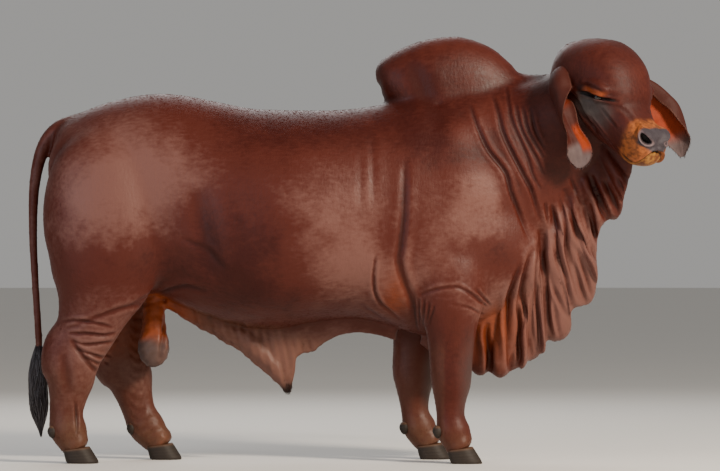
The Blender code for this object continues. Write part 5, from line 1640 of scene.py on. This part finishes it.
def fresh_material(name, finish, zones=(), grains=()):
    """A material with its shader's finish, the zones it reads from the mesh and its noise fields."""
    material = bpy.data.materials.new(name)
    material.use_nodes = True
    tree = material.node_tree
    tree.nodes.clear()
    shader = add(tree, "ShaderNodeBsdfPrincipled", finish)
    add(tree, "ShaderNodeOutputMaterial", {"Surface": shader.outputs[0]})
    read = {"place": add(tree, "ShaderNodeTexCoord").outputs["Object"]}
    for word in zones:
        read[word] = add(tree, "ShaderNodeAttribute", attribute_name=word).outputs["Fac"]
    for word, scale, detail, stretch, turn in grains:
        lay = {"Vector": read["place"], "Scale": stretch, "Rotation": (0, math.radians(turn), 0)}
        laid = add(tree, "ShaderNodeMapping", lay).outputs[0]
        grain = {"Vector": laid, "Scale": scale, "Detail": detail, "Roughness": 0.55}
        read[word] = add(tree, "ShaderNodeTexNoise", grain).outputs["Fac"]
    return material, tree, shader, read


def weigh(tree, read, start, parts):
    """A start plus each field that is read times its weight."""
    for word, weight in parts:
        terms = {0: read[word], 1: weight, 2: start}
        start = add(tree, "ShaderNodeMath", terms, operation="MULTIPLY_ADD").outputs[0]
    return start


def paint(tree, read, colours, colour, coats):
    """Lays coats of colour over a first one: field, strength, colour, and a pattern to a second colour."""
    for word, strength, first, *more in coats:
        over = colours[first]
        if more:
            pattern = {0: read[more[0]], 6: over, 7: colours[more[1]]}
            over = add(tree, "ShaderNodeMix", pattern, data_type="RGBA").outputs[2]
        share = add(tree, "ShaderNodeMath", {0: read[word], 1: strength}, operation="MULTIPLY")
        both = {0: share.outputs[0], 6: colour, 7: over}
        colour = add(tree, "ShaderNodeMix", both, data_type="RGBA").outputs[2]
    return colour


def hide_material(name, colours, tuft=False):
    """Short sleek hair over living skin: satin along the lie of the hair, sheen at the edges."""
    finish = {"Sheen Weight": 0.03, "Sheen Roughness": 0.45, "Sheen Tint": colours["sheen"]}
    finish["Specular IOR Level"] = 0.10 if tuft else 0.21
    # Hair about 0.06 mm thick doesn't show from here: it is drawn as streaks 4 mm wide, 40 mm long.
    grains = [
        ("streaks", 140.0, 3.0, (0.22, 1.0, 0.45), -25),
        ("patches", 9.0, 5.0, (1, 1, 1), 0),
        ("mottle", 55.0, 4.0, (1, 1, 1), 0),
    ]
    zones = [*MARKS]
    if tuft:
        zones.append("tip")
    else:
        # Wrinkles of the thin skin, about 6 mm apart.
        grains.append(("wrinkles", 90.0, 5.0, (1.0, 1.0, 0.35), 20))
    material, tree, shader, read = fresh_material(name, finish, zones, grains)
    # The coat's tone: painted sheen and painted shade from the shade zone, painted shade in the creases
    # from the groove zone, and the hair's own unevenness from the noise.
    tone = (("shade", 0.5), ("patches", 0.36), ("mottle", 0.20), ("streaks", 0.30), ("groove", -0.45))
    coat = add(tree, "ShaderNodeValToRGB", {"Fac": weigh(tree, read, 0.07, tone)})
    coat.color_ramp.interpolation = "EASE"
    low, high = coat.color_ramp.elements
    low.position = 0.10
    low.color = colours["dark"]
    high.position = 0.92
    high.color = colours["pale"]
    coat.color_ramp.elements.new(0.48).color = colours["coat"]
    spots = {"Value": read["mottle"], "From Min": 0.42, "From Max": 0.62}
    read["specks"] = add(tree, "ShaderNodeMapRange", spots).outputs[0]
    settled = {0: read["dust"], 1: weigh(tree, read, 0.15, (("mottle", 0.9),))}
    read["dusty"] = add(tree, "ShaderNodeMath", settled, operation="MULTIPLY", use_clamp=True).outputs[0]
    coats = [
        ("warm", 1.0, "warm", "mottle", "warm_deep"),
        ("grey", 1.0, "grey", "mottle", "grey_deep"),
        ("tan", 1.0, "tan", "specks", "tan_deep"),
        ("chin", 1.0, "chin", "specks", "tan_deep"),
        ("bare", 1.0, "pad", "mottle", "pad_deep"),
        ("rim", 0.6, "rim"),
        ("dusty", 1.0, "dust"),
        # Painted shade in the valleys of creases and hollows.
        ("groove", 0.35, "valley"),
        # Black lashes, lid margins and sheath brush, and painted shade in the nostrils, the mouth line and
        # the eye slit.
        ("black_and_hole_shade", 1.0, "black_and_hole_shade"),
    ]
    if tuft:
        coats.append(("tip", 0.25, "coat"))
    colour = paint(tree, read, colours, coat.outputs[0], coats)
    tree.links.new(colour, shader.inputs["Base Color"])
    rough = weigh(tree, read, 0.37, (("streaks", 0.22), ("head", 0.10)))
    tree.links.new(rough, shader.inputs["Roughness"])
    if not tuft:
        # Pebbles of the nose, 2 to 3 mm across.
        cells = {"Vector": read["place"], "Scale": 420.0}
        pebbles = add(tree, "ShaderNodeTexVoronoi", cells).outputs["Distance"]
        nose = {0: pebbles, 1: read["bare"]}
        read["nose"] = add(tree, "ShaderNodeMath", nose, operation="MULTIPLY").outputs[0]
        height = weigh(tree, read, 0.0, (("streaks", 0.5), ("wrinkles", 0.6), ("nose", 0.30)))
        bump = add(tree, "ShaderNodeBump", {"Strength": 0.45, "Distance": 0.004, "Height": height})
        tree.links.new(bump.outputs[0], shader.inputs["Normal"])
    return material


def ear_material(colours):
    """Thin skin under short hair: mauve-brown outside, bare and orange within, pale on the rim."""
    finish = {"Roughness": 0.62, "Specular IOR Level": 0.15}
    zones = ("lobe", "deep", "rim", "inside")
    grains = (("patches", 22.0, 4.0, (1, 1, 1), 0), ("hairs", 170.0, 3.0, (0.5, 1.0, 0.2), 0))
    material, tree, shader, read = fresh_material("ear_thin_skin", finish, zones, grains)
    tip = ("lobe", 1.0, "ear_tip", "patches", "ear_tip_pale")
    back = (("patches", 1.0, "ear_back"), tip)
    mouth = (("deep", 1.0, "ear_deep"), ("patches", 0.5, "ear_deep"), tip)
    outside = paint(tree, read, colours, colours["ear_out"], back)
    within = paint(tree, read, colours, colours["ear_inside"], mouth)
    both = {0: read["inside"], 6: outside, 7: within}
    colour = add(tree, "ShaderNodeMix", both, data_type="RGBA").outputs[2]
    edge = {"Value": read["rim"], "From Min": 0.90, "From Max": 1.0}
    read["edge"] = add(tree, "ShaderNodeMapRange", edge).outputs[0]
    colour = paint(tree, read, colours, colour, (("edge", 0.75, "ear_rim"), ("hairs", 0.35, "dark")))
    tree.links.new(colour, shader.inputs["Base Color"])
    bump = add(tree, "ShaderNodeBump", {"Strength": 0.35, "Distance": 0.003, "Height": read["hairs"]})
    tree.links.new(bump.outputs[0], shader.inputs["Normal"])
    return material


def eye_material(colours):
    """Wet eyeball: black pupil, dark brown iris and a dull white, under a clear coat."""
    finish = {"Roughness": 0.18, "Coat Weight": 0.3, "Coat Roughness": 0.08}
    material, tree, shader, read = fresh_material("eyeball_wet", finish, ("facing",))
    ball = add(tree, "ShaderNodeValToRGB", {"Fac": read["facing"]})
    low, high = ball.color_ramp.elements
    low.position = 0.70
    low.color = colours["eye_white"]
    high.position = 0.98
    high.color = colours["black_and_hole_shade"]
    ball.color_ramp.elements.new(0.80).color = colours["iris"]
    tree.links.new(ball.outputs[0], shader.inputs["Base Color"])
    return material


def horn_material(colours):
    """Hoof horn, grown in rings and scuffed: dark, dull, dusty at the coronet."""
    finish = {"Roughness": 0.60, "Specular IOR Level": 0.25}
    grains = (("scuffs", 70.0, 5.0, (1, 1, 1), 0),)
    material, tree, shader, read = fresh_material("hoof_horn_grown", finish, ("level",), grains)
    spot = add(tree, "ShaderNodeCombineXYZ", {"X": read["level"]}).outputs[0]
    growth = {"Vector": spot, "Scale": 1.6, "Distortion": 2.5, "Detail": 3.0}
    read["rings"] = add(tree, "ShaderNodeTexWave", growth).outputs["Fac"]
    top = {"Value": read["level"], "From Min": 0.82, "From Max": 1.0}
    read["top"] = add(tree, "ShaderNodeMapRange", top).outputs[0]
    coats = (("scuffs", 1.0, "horn_pale"), ("rings", 0.25, "horn_deep"), ("top", 0.7, "dust"))
    colour = paint(tree, read, colours, colours["horn"], coats)
    tree.links.new(colour, shader.inputs["Base Color"])
    height = weigh(tree, read, read["scuffs"], (("rings", 0.2),))
    bump = add(tree, "ShaderNodeBump", {"Strength": 0.4, "Distance": 0.002, "Height": height})
    tree.links.new(bump.outputs[0], shader.inputs["Normal"])
    return material


def hair_material(colours):
    """Coarse tail hair: near black, greyer where the sun has bleached its tips."""
    finish = {"Roughness": 0.42, "Specular IOR Level": 0.5}
    grains = (("strands", 180.0, 2.0, (1.0, 1.0, 0.08), 0),)
    material, tree, shader, read = fresh_material("tail_hair_coarse", finish, ("tip",), grains)
    coats = (("strands", 1.0, "hair_pale"), ("tip", 0.35, "hair_tip"))
    colour = paint(tree, read, colours, colours["hair"], coats)
    tree.links.new(colour, shader.inputs["Base Color"])
    return material


def floor_material(colours):
    """Matt painted studio floor."""
    grains = (("cloud", 0.8, 3.0, (1, 1, 1), 0),)
    name = "studio_floor_matt_paint"
    material, tree, shader, read = fresh_material(name, {"Roughness": 0.85}, grains=grains)
    colour = paint(tree, read, colours, colours["floor"], (("cloud", 0.25, "floor_worn"),))
    tree.links.new(colour, shader.inputs["Base Color"])
    return material


HEX = {
    "coat": "471A10",
    # Dark coat: darker hair and painted shade.
    "dark": "330A03",
    # Painted sheen: the coat where the sleek hair catches the light.
    "pale": "67433B",
    "sheen": "8A6A66",
    "warm": "92441E",
    "warm_deep": "642A12",
    "grey": "4E4745",
    "grey_deep": "342D2C",
    "tan": "8E4E24",
    "tan_deep": "5E3216",
    "pad": "403A40",
    "pad_deep": "2A2428",
    "dust": "5A3E2C",
    # Black of pupils, lashes, lid margins and sheath brush, and painted shade in nostrils, mouth line and
    # eye slit.
    "black_and_hole_shade": "0E0807",
    # Painted shade in the valleys of creases and hollows.
    "valley": "220A06",
    "chin": "8C6028",
    "rim": "7C6666",
    "ear_back": "40231E",
    "ear_tip": "4A4040",
    "ear_tip_pale": "6A5C5C",
    "ear_out": "36120B",
    "ear_inside": "A03A10",
    "ear_deep": "3E1A14",
    "ear_rim": "5E3C32",
    "eye_white": "1E1310",
    "iris": "1A0D0A",
    "horn": "221B17",
    "horn_pale": "30271F",
    "horn_deep": "16110E",
    "hair": "1C1819",
    "hair_pale": "3A3436",
    "hair_tip": "5A5050",
    "floor": "D8D5D0",
    "floor_worn": "CBC7C1",
}


class BullSizes(bpy.types.PropertyGroup):
    """Sizes that a user would change."""

    skin_voxel: bpy.props.FloatProperty(
        name="Skin grain",
        description="Edge length at which the flesh is fused",
        default=0.0055, min=0.004, max=0.02, unit="LENGTH",
    )
    skin_triangles: bpy.props.IntProperty(
        name="Skin triangles",
        description="Most triangles that the skin keeps",
        default=190000, min=20000, max=198000,
    )
    coat_depth: bpy.props.FloatProperty(
        name="Coat depth",
        description="How far the skin lies inside the solids",
        default=0.0015, min=0.0, max=0.01, unit="LENGTH",
    )
    coat_tufts: bpy.props.IntProperty(
        name="Coat tufts",
        description="Number of short tufts on the hide",
        default=19000, min=100, max=19500,
    )
    switch_locks: bpy.props.IntProperty(
        name="Switch locks",
        description="Number of locks in the tail's switch",
        default=900, min=100, max=4000,
    )


class BullColours(bpy.types.PropertyGroup):
    """Colours of the coat that a user would change."""

    coat: bpy.props.FloatVectorProperty(
        name="Coat",
        description="Main colour of the hair",
        subtype="COLOR", size=4, default=linear(HEX["coat"]), min=0, max=1,
    )
    # Darker hair and painted shade.
    dark: bpy.props.FloatVectorProperty(
        name="Dark coat",
        description="Colour of the darker parts",
        subtype="COLOR", size=4, default=linear(HEX["dark"]), min=0, max=1,
    )
    # Painted sheen where the sleek hair catches the light.
    pale: bpy.props.FloatVectorProperty(
        name="Pale coat",
        description="Colour where the hair shines",
        subtype="COLOR", size=4, default=linear(HEX["pale"]), min=0, max=1,
    )
    warm: bpy.props.FloatVectorProperty(
        name="Thin skin",
        description="Colour of the bare folds",
        subtype="COLOR", size=4, default=linear(HEX["warm"]), min=0, max=1,
    )


class BullStage(bpy.types.PropertyGroup):
    """Floor, light and camera."""

    lens: bpy.props.FloatProperty(
        name="Lens",
        description="Focal length in millimetres",
        default=219.5, min=20, max=400,
    )
    distance: bpy.props.FloatProperty(
        name="Distance",
        description="Camera's distance from the bull",
        default=18.0, min=2, max=60, unit="LENGTH",
    )
    key: bpy.props.FloatProperty(
        name="Key light",
        description="Power of the main light in watts",
        default=1180, min=0,
    )
    world: bpy.props.FloatProperty(
        name="Room light",
        description="Strength of the even light of the room",
        default=0.42, min=0,
    )


def palette():
    """The colours in linear values, with the user's own in place of the defaults."""
    colours = {name: linear(value) for name, value in HEX.items()}
    chosen = bpy.context.scene.bull_colours
    for name in ("coat", "dark", "pale", "warm"):
        colours[name] = tuple(getattr(chosen, name))
    return colours


class BULL_OT_skin(bpy.types.Operator):
    """Builds the whole hide in one piece"""

    bl_idname = "bull.skin"
    bl_label = "Skin"

    def execute(self, context):
        sizes = context.scene.bull_sizes
        skin = make_skin(sizes.skin_voxel, sizes.skin_triangles, sizes.coat_depth)
        dress(skin, hide_material("hide_short_hair", palette()), "hide", *FLESH)
        return {"FINISHED"}


class BULL_OT_ears(bpy.types.Operator):
    """Builds both long ears"""

    bl_idname = "bull.ears"
    bl_label = "Ears"

    def execute(self, context):
        material = ear_material(palette())
        for name, rows, turns, roll, seed in (
            ("ear_right", EAR_RIGHT, EAR_RIGHT_TURNS, EAR_RIGHT_ROLL, 41),
            ("ear_left", EAR_LEFT, EAR_LEFT_TURNS, EAR_LEFT_ROLL, 51),
        ):
            ear = dress(ear_leaf(name + "_leaf", rows, turns, roll), material, "ear", name)
            dress(ear_hair(ear, seed), material, "ear")
        return {"FINISHED"}


class BULL_OT_eyes(bpy.types.Operator):
    """Builds both eyeballs"""

    bl_idname = "bull.eyes"
    bl_label = "Eyes"

    def execute(self, context):
        material = eye_material(palette())
        for word, side in (("right", RIGHT), ("left", LEFT)):
            dress(eyeball("eyeball_" + word, side), material, "eye", "eye_" + word)
        return {"FINISHED"}


class BULL_OT_hooves(bpy.types.Operator):
    """Builds the claws and dewclaws"""

    bl_idname = "bull.hooves"
    bl_label = "Hooves"

    def execute(self, context):
        material = horn_material(palette())
        for word, x, y, fetlock in feet():
            for mark, offset in (("outer", 1), ("inner", -1)):
                side = offset * math.copysign(1, y)
                horn = claw(f"horn_{word}_{mark}", x, y + side * CLAW_SPREAD, side)
                dress(horn, material, "horny", f"claw_{word}_{mark}")
                spur = dewclaw(f"spur_{word}_{mark}", fetlock, y + side * DEWCLAW_SPREAD)
                dress(spur, material, "horny", f"dewclaw_{word}_{mark}")
        return {"FINISHED"}


class BULL_OT_switch(bpy.types.Operator):
    """Builds the long hair of the tail"""

    bl_idname = "bull.switch"
    bl_label = "Tail switch"

    def execute(self, context):
        switch = switch_hair(context.scene.bull_sizes.switch_locks, 5)
        dress(switch, hair_material(palette()), "hair", "tail_switch")
        return {"FINISHED"}


class BULL_OT_coat(bpy.types.Operator):
    """Sets short tufts over the hide, the lashes and the brush of the sheath"""

    bl_idname = "bull.coat"
    bl_label = "Coat"

    def execute(self, context):
        skin = bpy.data.objects["hide"]
        chart = unwrapped(skin)
        material = hide_material("hide_tufts", palette(), tuft=True)
        dress(body_coat(skin, chart, context.scene.bull_sizes.coat_tufts), material, "hide")
        dress(lash_hair(skin, chart), material, "hide")
        dress(tip_hair(skin, chart), material, "hide")
        return {"FINISHED"}


class BULL_OT_stage(bpy.types.Operator):
    """Sets up the floor, the lights and the camera"""

    bl_idname = "bull.stage"
    bl_label = "Stage"

    def execute(self, context):
        stage = context.scene.bull_stage
        bpy.ops.mesh.primitive_circle_add(vertices=96, radius=60, fill_type="NGON", location=(0, 0, 0))
        floor = context.object
        floor.name = "studio_floor"
        floor.data.materials.append(floor_material(palette()))
        world = bpy.data.worlds.new("studio_room")
        world.use_nodes = True
        room = world.node_tree.nodes["Background"].inputs
        room["Color"].default_value = linear("EDEBE8")
        room["Strength"].default_value = stage.world
        context.scene.world = world
        for name, where, aim, size, power, colour in (
            ("key", (5.2, -5.2, 4.8), (0.1, 0, 0.8), 1.3, stage.key, "FFF0DC"),
            ("fill", (-4.5, -5.0, 2.6), (-0.3, 0, 0.8), 4.0, stage.key * 0.15, "EAF0FF"),
            ("back", (-1.0, 5.0, 4.8), (0, 0, 1.0), 4.5, stage.key * 0.16, "FFFFFF"),
        ):
            bpy.ops.object.light_add(type="AREA", location=where)
            lamp = context.object
            lamp.name = name
            lamp.data.size = size
            lamp.data.energy = power
            lamp.data.color = linear(colour)[:3]
            lamp.rotation_euler = (Vector(aim) - Vector(where)).to_track_quat("-Z", "Y").to_euler()
        shift = place_matrix().to_translation()
        stand = (0.008 + shift.x, -stage.distance + shift.y, 0.925 + shift.z)
        bpy.ops.object.camera_add(location=stand, rotation=(math.radians(90), 0, 0))
        camera = context.object
        camera.data.lens = stage.lens
        camera.data.sensor_width = 36
        camera.data.clip_end = 300
        context.scene.camera = camera
        return {"FINISHED"}


class BULL_PT_panel(bpy.types.Panel):
    """Lists the bull's pieces in the sidebar"""

    bl_label = "Humped bull"
    bl_idname = "BULL_PT_panel"
    bl_space_type = "VIEW_3D"
    bl_region_type = "UI"
    bl_category = "Bull"

    def draw(self, context):
        column = self.layout.column()
        for group in (context.scene.bull_sizes, context.scene.bull_colours, context.scene.bull_stage):
            for word in group.__annotations__:
                column.prop(group, word)
        for kind in OPERATORS:
            column.operator(kind.bl_idname)


OPERATORS = (
    BULL_OT_skin,
    BULL_OT_coat,
    BULL_OT_ears,
    BULL_OT_eyes,
    BULL_OT_hooves,
    BULL_OT_switch,
    BULL_OT_stage,
)
GROUPS = {"bull_sizes": BullSizes, "bull_colours": BullColours, "bull_stage": BullStage}


def register():
    """Registers the classes and hangs the settings on the scene."""
    for kind in (*GROUPS.values(), *OPERATORS, BULL_PT_panel):
        bpy.utils.register_class(kind)
    for word, kind in GROUPS.items():
        setattr(bpy.types.Scene, word, bpy.props.PointerProperty(type=kind))


def unregister():
    """Takes the settings and classes away again."""
    for word in GROUPS:
        delattr(bpy.types.Scene, word)
    for kind in reversed((*GROUPS.values(), *OPERATORS, BULL_PT_panel)):
        bpy.utils.unregister_class(kind)


def main():
    """Builds the bull piece by piece."""
    register()
    bpy.ops.object.select_all(action="DESELECT")
    build = bpy.ops.bull
    for step in (build.skin, build.coat, build.ears, build.eyes, build.hooves, build.switch, build.stage):
        bpy.ops.object.select_all(action="DESELECT")
        if "FINISHED" not in step():
            raise RuntimeError("a step of the bull didn't finish")


if __name__ == "__main__":
    main()
